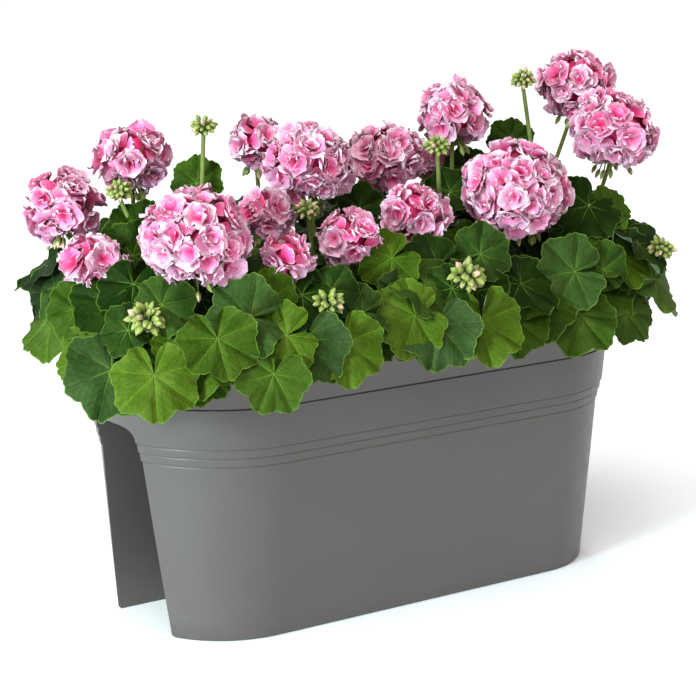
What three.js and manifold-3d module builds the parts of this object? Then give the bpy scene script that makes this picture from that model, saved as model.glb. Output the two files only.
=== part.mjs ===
// A railing window box planted with pink zonal geraniums.
// Millimetres, +Z up. The box lies along X and its front is towards -Y.
// The origin is on the floor under the middle of the box, half way along its rail slot.

import * as THREE from "three";
import { mergeVertices } from "three/addons/utils/BufferGeometryUtils.js";
import { ConvexGeometry } from "three/addons/geometries/ConvexGeometry.js";
import Module from "manifold-3d";

const wasm = await Module();
wasm.setup();

// ---------------------------------------------------------------- driving dimensions

const WALL = 3;
const CORNER_STEPS = 5;        // straight steps round each corner of the box
const UP = new THREE.Vector3(0, 0, 1);

// Outer sections of the box, bottom to top: height, half length, half depth, corner radius.
// The wall leans out, steps out three times, carries a fine groove and flares to the lip.
const OUTER = [
  [0, 244, 95.5, 87], [3, 247, 98.5, 90],
  [163, 262.6, 110.8, 108], [165, 264, 112, 109],
  [171, 264.6, 112.5, 109.5], [173, 266, 113.7, 110.5],
  [179.5, 266.6, 114.2, 111], [181.5, 268, 115.4, 112],
  [215.5, 271, 118, 115], [217.5, 269.6, 116.6, 113.6], [219.5, 271.4, 118.4, 114.6],
  [232, 275, 122, 107], [248, 282, 129, 95], [260, 288, 134.4, 85],
  [265, 290, 136, 82], [268.5, 289, 135, 81], [270, 286.8, 132.8, 79],
];
// Inner sections, from the floor of the troughs to the mouth.
const INNER = [
  [WALL, 243.5, 95, 86.5], [162, 259.4, 107.6, 104.8], [183, 264.8, 112.2, 108.8],
  [221, 267.6, 114.6, 110.6], [248, 278.6, 125.6, 91.6], [265, 284, 130, 76],
];
const LIP_HEIGHT = 270;

// The slot under the box, an upturned U that drops over a railing and runs right through.
const SLOT = { footHalf: 48, topHalf: 34.3, shoulder: 183, ceiling: 194, cornerWidth: 20 };
const SLOT_REACH = 340;        // half length of the cutter, past both ends of the box
const SLOT_STEPS = 6;          // straight steps round each corner of the slot
const DRAIN = { radius: 4, x: 150, y: 74, sides: 8 };

// The soil doesn't fill the slot's round shoulders: its own are this wide.
const SOIL = { gap: 0.6, top: 243, lump: 4, columns: 10, rows: 3, bridge: 11, bridgeSteps: 4 };
const SEAT_GAP = 0.3;

// Plants stand 140 mm apart, in turn in the front and the back trough.
const PLANT_PITCH = 140;
const PLANTS = 4;
const STEM = {
  rootY: 58, rootZ: 200, neckZ: 262, headZ: 318, armY: 52, radius: 5.5, tipRadius: 3.6,
  forkDrop: 5, bendRise: 22, sides: 8, armSides: 5, holeGap: 0.5,
};
// Stalks of the leaves: where they leave the arm (share of its reach, height), how far
// along they bend, and how far the bend stays under the blade.
const STALK = { near: 0.4, spread: 0.55, low: 24, below: 28, bendAt: 0.58, clear: 6, sag: 4 };
// Stalks of the flower heads and bud clusters.
const PEDUNCLE = {
  armShare: 0.9, below: 20, bendX: 0.62, bendY: 0.6, bendZ: 0.45,
  radius: 2.6, tipRadius: 2.1, sides: 3,
};

// Rows of leaves, from the skirt that hangs over the lip to the crown: half length and
// half depth of the row, corner radius, height, outward and downward lean of the tips,
// leaf radius, spacing along the row, and the sideways offset of the cell borders.
const LEAF_ROWS = [
  { half: [304, 141], corner: 90, z: 284, out: 0.45, down: 0.89, radius: 42, pitch: 70, border: 0 },
  { half: [293, 131], corner: 88, z: 319, out: 0.72, down: 0.69, radius: 39, pitch: 74, border: 24 },
  { half: [254, 90], corner: 72, z: 348, out: 0.89, down: 0.45, radius: 37, pitch: 74, border: -24 },
  { half: [214, 44], corner: 40, z: 367, out: 0.97, down: 0.25, radius: 35, pitch: 76, border: 0 },
];
const LEAF = {
  points: 14, thickness: 1.2, stalk: 1.8, lobes: 7, lobe: 0.07, taper: 0.42, notch: 0.25,
  cup: 0.05, flatCup: 0.4, wave: 0.05, waves: 3,
  lift: 5, hiddenShift: 26, bloomGap: 5, cellGap: 1,
};
// How much one leaf differs from the next: place along the row, size, lean, turn, height.
const LEAF_VARIETY = { shift: 0.3, small: 0.86, size: 0.2, lean: 0.1, turn: 0.9, height: 5 };
const PETAL = {
  lobes: 5, core: 0.55, foot: 0.09, reach: 1.36, throat: 0.72, spread: 0.86,
  small: 0.92, size: 0.16, tipAt: 0.88, notchAt: 0.86, notch: 0.66, ruffle: 0.1,
};
const BUD = { sides: 3, count: 7, core: 0.42, foot: 0.13, belly: 0.74, width: 0.26, spread: 0.8 };

// Leaves bent clear of a neighbour: by index, how far along the tip and along the normal.
const BENT_CLEAR = { 10: [-14, 0], 28: [0, 8], 35: [0, 14], 73: [0, 1.5] };

// Flower heads: name, plant, centre, radius and number of florets.
const BLOOMS = [
  ["a", 0, [-289, 40, 383], 38, 10], ["b", 0, [-291, -20, 340], 32, 8],
  ["c", 0, [-207, 60, 415], 38, 10], ["d", 0, [-239, -100, 369], 52, 15],
  ["e", 1, [-72, -25, 411], 45, 12], ["f", 1, [-74, 60, 420], 28, 7],
  ["g", 1, [-128, -40, 372], 26, 7], ["h", 1, [-159, -118, 347], 26, 7],
  ["j", 1, [-80, -100, 352], 33, 8], ["k", 2, [6, -80, 364], 36, 9],
  ["l", 2, [31, 0, 405], 40, 10], ["m", 2, [124, 50, 391], 24, 6],
  ["n", 2, [111, 0, 442], 38, 10], ["p", 2, [112, -96, 379], 54, 15],
  ["q", 3, [276, 14, 458], 42, 11], ["r", 3, [246, -78, 424], 46, 12],
];
// Bud clusters on stalks of their own: plant, centre and radius.
const BUDS = [
  [0, [-168, 0, 450], 13], [0, [-254, 0, 400], 12],
  [3, [197, 0, 471], 13], [3, [323, -60, 302], 15],
];

// ---------------------------------------------------------------- solids and joins

// A closed triangle mesh as a solid that can be joined and cut.
function solidOf(geometry) {
  const bare = geometry.clone();
  bare.deleteAttribute("normal");
  bare.deleteAttribute("uv");
  const welded = mergeVertices(bare, 1e-4);
  return new wasm.Manifold(new wasm.Mesh({
    numProp: 3,
    vertProperties: new Float32Array(welded.attributes.position.array),
    triVerts: new Uint32Array(welded.index.array),
  }));
}

function meshGeometry(points, triangles) {
  const geometry = new THREE.BufferGeometry();
  geometry.setAttribute("position", new THREE.Float32BufferAttribute(points.flat(), 3));
  geometry.setIndex(triangles.flat());
  return geometry;
}

function geometryOf(solid) {
  const mesh = solid.getMesh();
  const geometry = new THREE.BufferGeometry();
  geometry.setAttribute("position", new THREE.BufferAttribute(mesh.vertProperties, 3));
  geometry.setIndex(new THREE.BufferAttribute(mesh.triVerts, 1));
  return geometry;
}

// Joins solids, then keeps the largest body: loose scraps and sealed hollows go.
function fuse(solids) {
  let whole = solids[0];
  for (const next of solids.slice(1)) whole = whole.add(next);
  const bodies = whole.decompose();
  return bodies.reduce((best, body) => (body.volume() > best.volume() ? body : best));
}

// Stacks closed rings of points into a solid with flat ends.
function loft(rings) {
  const count = rings[0].length;
  const triangles = [];
  for (let ring = 0; ring + 1 < rings.length; ring += 1) {
    for (let i = 0; i < count; i += 1) {
      const a = ring * count + i;
      const b = ring * count + ((i + 1) % count);
      triangles.push([a, b, b + count], [a, b + count, a + count]);
    }
  }
  const bottom = rings.length * count;
  const top = bottom + 1;
  const last = (rings.length - 1) * count;
  for (let i = 0; i < count; i += 1) {
    const j = (i + 1) % count;
    triangles.push([bottom, j, i], [top, last + i, last + j]);
  }
  const centre = (ring) => [0, 1, 2].map((k) => ring.reduce((sum, p) => sum + p[k], 0) / count);
  return meshGeometry([...rings.flat(), centre(rings[0]), centre(rings[rings.length - 1])], triangles);
}

// A rectangle with round corners as a ring of points, counter-clockwise from above.
function roundedRing(z, halfX, halfY, corner, steps = CORNER_STEPS) {
  const ring = [];
  for (let quarter = 0; quarter < 4; quarter += 1) {
    const signX = quarter === 0 || quarter === 3 ? 1 : -1;
    const signY = quarter < 2 ? 1 : -1;
    for (let i = 0; i <= steps; i += 1) {
      const angle = (quarter + i / steps) * Math.PI / 2;
      ring.push([
        signX * (halfX - corner) + corner * Math.cos(angle),
        signY * (halfY - corner) + corner * Math.sin(angle), z,
      ]);
    }
  }
  return ring;
}

// A tapered tube through the points. With a level end its last ring lies flat.
function tube(points, startRadius, endRadius, sides, levelEnd = false) {
  const curve = new THREE.CatmullRomCurve3(points.map((p) => new THREE.Vector3(...p)));
  const steps = points.length - 1;
  const rings = [];
  for (let i = 0; i <= steps; i += 1) {
    const centre = curve.getPointAt(i / steps);
    const along = levelEnd && i === steps ? UP : curve.getTangentAt(i / steps);
    const side = new THREE.Vector3(1, 0.13, 0).cross(along).normalize();
    const other = along.clone().cross(side);
    const radius = startRadius + (endRadius - startRadius) * i / steps;
    const ring = [];
    for (let k = 0; k < sides; k += 1) {
      const angle = 2 * Math.PI * k / sides;
      ring.push(centre.clone().addScaledVector(side, radius * Math.cos(angle))
        .addScaledVector(other, radius * Math.sin(angle)).toArray());
    }
    rings.push(ring);
  }
  return solidOf(loft(rings));
}

// ---------------------------------------------------------------- repeatable variety

// A number from 0 to 1 that depends only on the item's index and the channel asked for.
function vary(index, channel) {
  const value = Math.sin(index * 12.9898 + channel * 78.233 + 4.17) * 43758.5453;
  return value - Math.floor(value);
}

// ---------------------------------------------------------------- the box

// The slot grown by a clearance; a smaller corner width cuts its shoulders squarer.
function slotCutter(grow, cornerWidth = SLOT.cornerWidth, steps = SLOT_STEPS) {
  const outline = new THREE.Shape();
  const lean = (SLOT.footHalf - SLOT.topHalf) / SLOT.shoulder;
  const below = -5;
  const foot = SLOT.footHalf + grow - lean * below;
  const top = SLOT.topHalf + grow;
  const flat = SLOT.topHalf - cornerWidth + grow * 0.5;
  outline.moveTo(-foot, below);
  outline.lineTo(foot, below);
  outline.lineTo(top, SLOT.shoulder);
  for (let i = 1; i <= steps; i += 1) {
    const angle = Math.PI / 2 * i / steps;
    outline.lineTo(flat + (top - flat) * Math.cos(angle),
      SLOT.shoulder + (SLOT.ceiling + grow - SLOT.shoulder) * Math.sin(angle));
  }
  for (let i = steps; i >= 0; i -= 1) {
    const angle = Math.PI / 2 * i / steps;
    outline.lineTo(-flat - (top - flat) * Math.cos(angle),
      SLOT.shoulder + (SLOT.ceiling + grow - SLOT.shoulder) * Math.sin(angle));
  }
  const bar = new THREE.ExtrudeGeometry(outline, { depth: 2 * SLOT_REACH, bevelEnabled: false });
  bar.translate(0, 0, -SLOT_REACH);
  bar.applyMatrix4(new THREE.Matrix4().makeBasis(
    new THREE.Vector3(0, 1, 0), UP, new THREE.Vector3(1, 0, 0)));
  return solidOf(bar);
}

function plainHole(x, y, radius, from, to, sides) {
  const hole = new THREE.CylinderGeometry(radius, radius, to - from, sides);
  hole.rotateX(Math.PI / 2);
  hole.translate(x, y, (from + to) / 2);
  return solidOf(hole);
}

function planterBox() {
  const outside = solidOf(loft(OUTER.map((section) => roundedRing(...section))));
  const mouth = INNER[INNER.length - 1];
  const inside = INNER.map((section) => roundedRing(...section));
  inside.push(roundedRing(LIP_HEIGHT + 10, ...mouth.slice(1)));
  const hollow = solidOf(loft(inside)).subtract(slotCutter(WALL));
  let box = outside.subtract(hollow).subtract(slotCutter(0));
  for (const x of [-DRAIN.x, DRAIN.x]) {
    for (const y of [-DRAIN.y, DRAIN.y]) {
      box = box.subtract(plainHole(x, y, DRAIN.radius, -2, WALL + 2, DRAIN.sides));
    }
  }
  return fuse([box]);
}

// ---------------------------------------------------------------- the soil

function soilHeight(x, y) {
  return SOIL.top + SOIL.lump * (0.5 * Math.sin(x * 0.083 + y * 0.05)
    + 0.3 * Math.sin(y * 0.13 - x * 0.031) + 0.2 * Math.cos(x * 0.19 + y * 0.17));
}

function soilSlab() {
  const halfX = 300;
  const halfY = 150;
  const columns = SOIL.columns + 1;
  const points = [];
  for (let j = 0; j <= SOIL.rows; j += 1) {
    for (let i = 0; i <= SOIL.columns; i += 1) {
      const x = halfX * (2 * i / SOIL.columns - 1);
      const y = halfY * (2 * j / SOIL.rows - 1);
      points.push([x, y, soilHeight(x, y)]);
    }
  }
  const floor = points.length;
  const corners = [[-halfX, -halfY], [halfX, -halfY], [halfX, halfY], [-halfX, halfY]];
  for (const [x, y] of corners) points.push([x, y, -10]);
  const triangles = [];
  for (let j = 0; j < SOIL.rows; j += 1) {
    for (let i = 0; i < SOIL.columns; i += 1) {
      const a = j * columns + i;
      triangles.push([a, a + 1, a + columns + 1], [a, a + columns + 1, a + columns]);
    }
  }
  const last = SOIL.rows * columns;
  for (let i = 0; i < SOIL.columns; i += 1) {
    triangles.push([i + 1, i, floor], [last + i, last + i + 1, floor + 3]);
  }
  for (let j = 0; j < SOIL.rows; j += 1) {
    const left = j * columns;
    const right = left + SOIL.columns;
    triangles.push([left, left + columns, floor], [right + columns, right, floor + 1]);
  }
  triangles.push([SOIL.columns, floor, floor + 1], [last + SOIL.columns, floor + 2, floor + 3]);
  triangles.push([last + SOIL.columns, floor + 1, floor + 2], [last, floor + 3, floor]);
  triangles.push([floor, floor + 2, floor + 1], [floor, floor + 3, floor + 2]);
  return solidOf(meshGeometry(points, triangles));
}

function pottingSoil() {
  const gap = SOIL.gap;
  const rings = INNER.slice(0, 5).map(([z, halfX, halfY, corner], i) => (
    roundedRing(z + (i ? 0 : SEAT_GAP), halfX - gap, halfY - gap, corner - gap)));
  let soil = solidOf(loft(rings)).subtract(slotCutter(WALL + gap, SOIL.bridge, SOIL.bridgeSteps))
    .intersect(soilSlab());
  for (let plant = 0; plant < PLANTS; plant += 1) {
    const { x, y } = plantPlace(plant);
    const radius = STEM.radius + STEM.holeGap;
    soil = soil.subtract(plainHole(x, y, radius, STEM.rootZ - SEAT_GAP, STEM.neckZ, STEM.sides));
  }
  return fuse([soil]);
}

// ---------------------------------------------------------------- the plants

function plantPlace(plant) {
  return {
    x: PLANT_PITCH * (plant - (PLANTS - 1) / 2),
    y: plant % 2 ? STEM.rootY : -STEM.rootY,
  };
}

// A point and its outward direction, a fraction of the way round a row of leaves.
function alongRow(row, fraction) {
  const ring = roundedRing(0, ...row.half, row.corner).map(([x, y]) => new THREE.Vector2(x, y));
  const lengths = ring.map((p, i) => p.distanceTo(ring[(i + 1) % ring.length]));
  let left = fraction * lengths.reduce((sum, l) => sum + l, 0);
  let i = 0;
  while (left > lengths[i]) {
    left -= lengths[i];
    i += 1;
  }
  const next = ring[(i + 1) % ring.length];
  const step = next.clone().sub(ring[i]);
  const place = ring[i].clone().addScaledVector(step, left / lengths[i]);
  return { place, outward: new THREE.Vector2(step.y, -step.x).normalize() };
}

function rowLength(row) {
  return 4 * (row.half[0] + row.half[1]) - (8 - 2 * Math.PI) * row.corner;
}

// Moves a leaf straight away from any flower head that its disc would touch.
function clearOfBlooms(centre, normal, radius) {
  const moved = centre.clone();
  for (const [, , place, bloomRadius] of BLOOMS) {
    const bloom = new THREE.Vector3(...place);
    const away = bloom.clone().sub(moved);
    const height = away.dot(normal);
    const flat = away.clone().addScaledVector(normal, -height);
    const reach = Math.min(flat.length(), radius);
    const nearest = moved.clone().addScaledVector(flat.normalize(), reach);
    const gap = nearest.distanceTo(bloom);
    const wanted = bloomRadius + LEAF.bloomGap;
    if (gap < wanted) {
      moved.addScaledVector(bloom.clone().sub(nearest).normalize(), gap - wanted);
    }
  }
  return moved;
}

// Every leaf of the box: its plant, attachment, tip direction, upper-face normal and size.
function leafPlaces() {
  const leaves = [];
  LEAF_ROWS.forEach((row, level) => {
    const count = Math.round(rowLength(row) / row.pitch);
    for (let k = 0; k < count; k += 1) {
      const index = leaves.length;
      const shift = 0.5 * (level % 2) + LEAF_VARIETY.shift * (vary(index, 1) - 0.5);
      const { place, outward } = alongRow(row, ((k + shift + 1) % count) / count);
      const radius = row.radius * (LEAF_VARIETY.small + LEAF_VARIETY.size * vary(index, 2));
      const plant = Math.min(PLANTS - 1, Math.max(0,
        Math.round((place.x - row.border) / PLANT_PITCH + (PLANTS - 1) / 2)));
      const cell = PLANT_PITCH * (plant - (PLANTS - 1) / 2) + row.border;
      const room = PLANT_PITCH / 2 - radius - LEAF.cellGap;
      const low = plant === 0 ? -Infinity : cell - room;
      const high = plant === PLANTS - 1 ? Infinity : cell + room;
      const out = new THREE.Vector3(outward.x, outward.y, 0);
      const lean = LEAF_VARIETY.lean * (vary(index, 3) - 0.5);
      const normal = out.clone().multiplyScalar(row.down + lean)
        .addScaledVector(UP, row.out - lean).normalize();
      const turn = LEAF_VARIETY.turn * (vary(index, 4) - 0.5);
      const tip = out.clone().multiplyScalar(row.out).addScaledVector(UP, -row.down);
      tip.addScaledVector(normal, -tip.dot(normal)).normalize().applyAxisAngle(normal, turn);
      const height = row.z + LEAF_VARIETY.height * (vary(index, 5) - 0.5);
      const start = new THREE.Vector3(place.x, place.y, height)
        .addScaledVector(normal, k % 2 ? LEAF.lift : -LEAF.lift);
      const centre = clearOfBlooms(start, normal, radius);
      const hidden = centre.distanceTo(start) > LEAF.hiddenShift;
      centre.x = Math.min(high, Math.max(low, centre.x));
      const [alongTip, alongNormal] = BENT_CLEAR[index] ?? [0, 0];
      centre.addScaledVector(tip, alongTip).addScaledVector(normal, alongNormal);
      leaves.push({ index, plant, centre, tip, normal, radius, hidden });
    }
  });
  return leaves.filter((leaf) => !leaf.hidden);
}

// Outline of a zonal geranium leaf: round, with a narrow notch at the stalk and seven
// shallow lobes. The angle runs from one side of the notch to the other.
function leafReach(angle) {
  const notch = Math.abs(angle) / Math.PI;
  const atNotch = notch > 0.999;
  return (1 - LEAF.taper * notch ** 3) * (1 + LEAF.lobe * Math.cos(LEAF.lobes * angle))
    * (atNotch ? LEAF.notch : 1);
}

// The way of a leaf's stalk: from under its blade, through a bend, into its plant's arm.
function stalkWay(leaf) {
  const { x } = plantPlace(leaf.plant);
  const climb = vary(leaf.index, 8);
  const armSide = leaf.centre.y > 0 ? 1 : -1;
  const root = new THREE.Vector3(x, armSide * STEM.armY * (STALK.near + STALK.spread * climb),
    STEM.neckZ + STALK.low + (STEM.headZ - STEM.neckZ - STALK.below) * climb);
  const bend = root.clone().lerp(leaf.centre, STALK.bendAt);
  bend.z = Math.min(bend.z, leaf.centre.z - STALK.clear) - STALK.sag;
  return [bend, root];
}

// A leaf and its stalk as one closed mesh. The blade fans out from its middle and is cut
// into like triangles on both faces; the stalk's three corners start under the middle.
function leafSolid(leaf) {
  const side = leaf.tip.clone().cross(leaf.normal);
  const toWorld = new THREE.Matrix4().makeBasis(side, leaf.tip, leaf.normal)
    .setPosition(leaf.centre);
  const place = (x, y, z) => new THREE.Vector3(x, y, z).applyMatrix4(toWorld).toArray();
  const top = [];
  const under = [];
  const count = LEAF.points;
  const cup = LEAF.cup * (LEAF.flatCup + vary(leaf.index, 6));
  for (let i = 0; i < count; i += 1) {
    const angle = Math.PI - 2 * Math.PI * i / count;
    const reach = leaf.radius * leafReach(angle);
    const phase = 6 * vary(leaf.index, 7);
    const wave = i === 0 ? 0 : LEAF.wave * Math.sin(LEAF.waves * angle + phase);
    const rise = reach * (cup + wave);
    top.push(place(reach * Math.sin(angle), reach * Math.cos(angle), rise));
    under.push(place(reach * Math.sin(angle), reach * Math.cos(angle), rise - LEAF.thickness));
  }
  const points = [...top, ...under, place(0, 0, 0)];
  const triangles = [];
  const ring = points.length;
  for (let k = 0; k < 3; k += 1) {
    const angle = Math.PI + 2 * Math.PI * k / 3;
    points.push(place(-LEAF.stalk * Math.sin(angle), LEAF.stalk * Math.cos(angle), -LEAF.thickness));
  }
  for (let i = 0; i < count; i += 1) {
    const j = (i + 1) % count;
    const near = Math.round(3 * (i + 0.5) / count) % 3;
    triangles.push([2 * count, i, j], [i, i + count, j + count], [i, j + count, j]);
    triangles.push([j + count, i + count, ring + near]);
    const after = Math.round(3 * (i + 1.5) / count) % 3;
    if (after !== near) triangles.push([ring + near, ring + after, j + count]);
  }
  const way = [leaf.centre, ...stalkWay(leaf)];
  for (let step = 1; step < way.length; step += 1) {
    const along = way[step].clone().sub(way[step - 1]).normalize();
    const ahead = leaf.tip.clone().addScaledVector(along, -leaf.tip.dot(along)).normalize();
    const across = ahead.clone().cross(along);
    for (let k = 0; k < 3; k += 1) {
      const angle = Math.PI + 2 * Math.PI * k / 3;
      points.push(way[step].clone().addScaledVector(ahead, LEAF.stalk * Math.cos(angle))
        .addScaledVector(across, LEAF.stalk * Math.sin(angle)).toArray());
      const a = ring + 3 * (step - 1) + k;
      const b = ring + 3 * (step - 1) + ((k + 1) % 3);
      triangles.push([a, b + 3, b], [a, a + 3, b + 3]);
    }
  }
  const end = ring + 3 * (way.length - 1);
  triangles.push([end + 2, end + 1, end]);
  return solidOf(meshGeometry(points, triangles));
}

function stems(plant) {
  const { x, y } = plantPlace(plant);
  const neck = [x, y, STEM.neckZ];
  const solids = [tube([[x, y, STEM.rootZ], neck], STEM.radius, STEM.radius, STEM.sides)];
  for (const side of [-1, 1]) {
    const head = [x, side * STEM.armY, STEM.headZ];
    const bend = [x, (neck[1] + head[1]) / 2, STEM.neckZ + STEM.bendRise];
    const fork = [x, y, STEM.neckZ - STEM.forkDrop];
    solids.push(tube([fork, bend, head], STEM.radius, STEM.tipRadius, STEM.armSides));
  }
  return solids;
}

// The stalk of a flower head or bud cluster, from the plant's arm up to its seat.
function peduncle(plant, seat) {
  const { x } = plantPlace(plant);
  const side = seat[1] > 0 ? 1 : -1;
  const start = [x, side * STEM.armY * PEDUNCLE.armShare, STEM.headZ - PEDUNCLE.below];
  const mid = [
    x + PEDUNCLE.bendX * (seat[0] - x),
    start[1] + PEDUNCLE.bendY * (seat[1] - start[1]),
    start[2] + PEDUNCLE.bendZ * (seat[2] - start[2]),
  ];
  return tube([start, mid, seat], PEDUNCLE.radius, PEDUNCLE.tipRadius, PEDUNCLE.sides, true);
}

function leafyPlant(plant, leaves) {
  const solids = stems(plant);
  for (const leaf of leaves.filter((each) => each.plant === plant)) {
    solids.push(leafSolid(leaf));
  }
  for (const [, owner, [x, y, z], radius] of BLOOMS) {
    if (owner === plant) solids.push(peduncle(plant, [x, y, z - seatDrop(radius) - SEAT_GAP]));
  }
  for (const [owner, place, radius] of BUDS) {
    if (owner === plant) solids.push(peduncle(plant, place), budCluster(place, radius));
  }
  return fuse(solids);
}

// ---------------------------------------------------------------- the flower heads

function coreRadius(radius) {
  return radius * PETAL.core;
}

// How far the flat seat under a head lies below its centre.
function seatDrop(radius) {
  return Math.sqrt(coreRadius(radius) ** 2 - (PETAL.foot * radius) ** 2);
}

// Directions spread evenly on a ball between two depths, 0 at its top and 2 at its foot.
function spiralDirection(i, count, from, to) {
  const rise = 1 - (from + (to - from) * (i + 0.5) / count * 2);
  const angle = i * Math.PI * (3 - Math.sqrt(5));
  const flat = Math.sqrt(1 - rise * rise);
  return new THREE.Vector3(flat * Math.cos(angle), flat * Math.sin(angle), rise);
}

// Points in a ring round a direction: the distance along it, and the distance from it.
function ringRound(out, along, aside, count, turn) {
  const side = new THREE.Vector3(0.31, 1, 0.17).cross(out).normalize();
  const other = out.clone().cross(side);
  const ring = [];
  for (let i = 0; i < count; i += 1) {
    const angle = turn + 2 * Math.PI * i / count;
    ring.push(out.clone().multiplyScalar(along).addScaledVector(side, aside * Math.cos(angle))
      .addScaledVector(other, aside * Math.sin(angle)));
  }
  return ring;
}

// A core is the hull of small feet, one for each thing that stands out of it, and of a
// flat seat at its bottom. The feet's own faces stay open for what stands on them.
function headCore(outs, corners, core, foot) {
  const along = Math.sqrt(core * core - foot * foot);
  const points = outs.flatMap((out) => ringRound(out, along, foot, corners, 0));
  points.push(...ringRound(UP.clone().negate(), along, foot, corners, 0));
  const nearest = (p) => points.reduce((best, q, i) => (
    q.distanceTo(p) < points[best].distanceTo(p) ? i : best), 0);
  const hull = new ConvexGeometry(points).attributes.position;
  const triangles = [];
  for (let i = 0; i < hull.count; i += 3) {
    const face = [0, 1, 2].map((k) => nearest(new THREE.Vector3().fromBufferAttribute(hull, i + k)));
    const owners = face.map((corner) => Math.floor(corner / corners));
    const isFoot = owners.every((owner) => owner === owners[0]) && owners[0] < outs.length;
    if (!isFoot) triangles.push(face);
  }
  return { points, triangles };
}

// Closes a foot with five petals that flare from it round a sunk throat.
function addFloret(head, order, out, radius, reach, index) {
  const { points, triangles } = head;
  const { lobes } = PETAL;
  const first = points.length;
  const size = reach * (PETAL.small + PETAL.size * vary(index, 11));
  const tips = ringRound(out, radius * PETAL.tipAt, size, lobes, 0);
  const notches = ringRound(out, radius * PETAL.notchAt, size * PETAL.notch, lobes, Math.PI / lobes);
  tips.forEach((tip, k) => {
    tip.addScaledVector(out, radius * PETAL.ruffle * (vary(index, k + 12) - 0.5));
  });
  points.push(out.clone().multiplyScalar(radius * PETAL.throat), ...tips, ...notches);
  for (let k = 0; k < lobes; k += 1) {
    const next = (k + 1) % lobes;
    const [tip, nextTip, notch] = [first + 1 + k, first + 1 + next, first + 1 + lobes + k];
    const [foot, nextFoot] = [order * lobes + k, order * lobes + next];
    triangles.push([first, tip, notch], [first, notch, nextTip]);
    triangles.push([foot, notch, tip], [nextFoot, nextTip, notch], [foot, nextFoot, notch]);
  }
}

function flowerHead(order, place, radius, florets) {
  const outs = [];
  for (let i = 0; i < florets; i += 1) outs.push(spiralDirection(i, florets, 0, PETAL.spread));
  const head = headCore(outs, PETAL.lobes, coreRadius(radius), PETAL.foot * radius);
  const reach = PETAL.reach * radius / Math.sqrt(florets);
  outs.forEach((out, i) => addFloret(head, i, out, radius, reach, order * 40 + i));
  const geometry = meshGeometry(head.points.map((p) => p.toArray()), head.triangles);
  geometry.translate(...place);
  return solidOf(geometry);
}

// Closes a foot with a three-sided bud, swollen in its middle and pointed.
function addBud(head, order, out, radius) {
  const { points, triangles } = head;
  const { sides } = BUD;
  const first = points.length;
  const belly = ringRound(out, radius * BUD.belly, radius * BUD.width, sides, Math.PI / sides);
  points.push(out.clone().multiplyScalar(radius), ...belly);
  for (let k = 0; k < sides; k += 1) {
    const next = (k + 1) % sides;
    const [foot, nextFoot] = [order * sides + k, order * sides + next];
    const [side, nextSide] = [first + 1 + k, first + 1 + next];
    triangles.push([foot, nextFoot, side], [nextFoot, nextSide, side], [first, side, nextSide]);
  }
}

function budCluster(place, radius) {
  const outs = [];
  for (let i = 0; i < BUD.count; i += 1) outs.push(spiralDirection(i, BUD.count, 0, BUD.spread));
  const head = headCore(outs, BUD.sides, radius * BUD.core, radius * BUD.foot);
  outs.forEach((out, i) => addBud(head, i, out, radius));
  const geometry = meshGeometry(head.points.map((p) => p.toArray()), head.triangles);
  geometry.translate(...place);
  return solidOf(geometry);
}

// ---------------------------------------------------------------- assembly

const MATERIALS = {
  box: new THREE.MeshStandardMaterial({ color: "#6b6662", roughness: 0.5 }),
  soil: new THREE.MeshStandardMaterial({ color: "#35281f", roughness: 1 }),
  plant: new THREE.MeshStandardMaterial({ color: "#4a7a2c", roughness: 0.6 }),
  petals: new THREE.MeshStandardMaterial({ color: "#e282b4", roughness: 0.7 }),
};

const windowBox = new THREE.Group();

function addPiece(name, solid, material) {
  const mesh = new THREE.Mesh(geometryOf(solid), material.clone());
  mesh.name = name;
  windowBox.add(mesh);
}

addPiece("planter_box", planterBox(), MATERIALS.box);
addPiece("potting_soil", pottingSoil(), MATERIALS.soil);
const leaves = leafPlaces();
for (let plant = 0; plant < PLANTS; plant += 1) {
  addPiece(`geranium_${plant + 1}`, leafyPlant(plant, leaves), MATERIALS.plant);
}
BLOOMS.forEach(([name, , place, radius, florets], order) => {
  addPiece(`flower_head_${name}`, flowerHead(order, place, radius, florets), MATERIALS.petals);
});

export default windowBox;
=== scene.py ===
import math

import bpy
import numpy as np
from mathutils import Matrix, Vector, noise


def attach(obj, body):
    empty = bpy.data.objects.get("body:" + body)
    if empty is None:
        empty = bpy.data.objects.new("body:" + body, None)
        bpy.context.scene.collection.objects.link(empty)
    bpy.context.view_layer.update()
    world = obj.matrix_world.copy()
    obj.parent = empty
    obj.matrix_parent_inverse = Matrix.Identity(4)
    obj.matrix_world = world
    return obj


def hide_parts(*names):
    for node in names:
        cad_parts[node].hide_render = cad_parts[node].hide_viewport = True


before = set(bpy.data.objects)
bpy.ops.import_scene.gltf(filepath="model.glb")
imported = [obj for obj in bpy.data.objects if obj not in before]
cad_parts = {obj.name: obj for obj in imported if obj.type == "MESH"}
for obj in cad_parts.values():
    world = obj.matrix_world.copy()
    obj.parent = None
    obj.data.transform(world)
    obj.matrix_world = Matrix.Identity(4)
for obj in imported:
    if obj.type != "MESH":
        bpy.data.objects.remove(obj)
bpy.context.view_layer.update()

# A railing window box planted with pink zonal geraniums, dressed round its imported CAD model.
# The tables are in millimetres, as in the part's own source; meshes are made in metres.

MM = 0.001
TAU = 2 * math.pi
UP = np.array([0.0, 0.0, 1.0])

# ------------------------------------------------------------------ driving dimensions

WALL = 3
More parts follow.
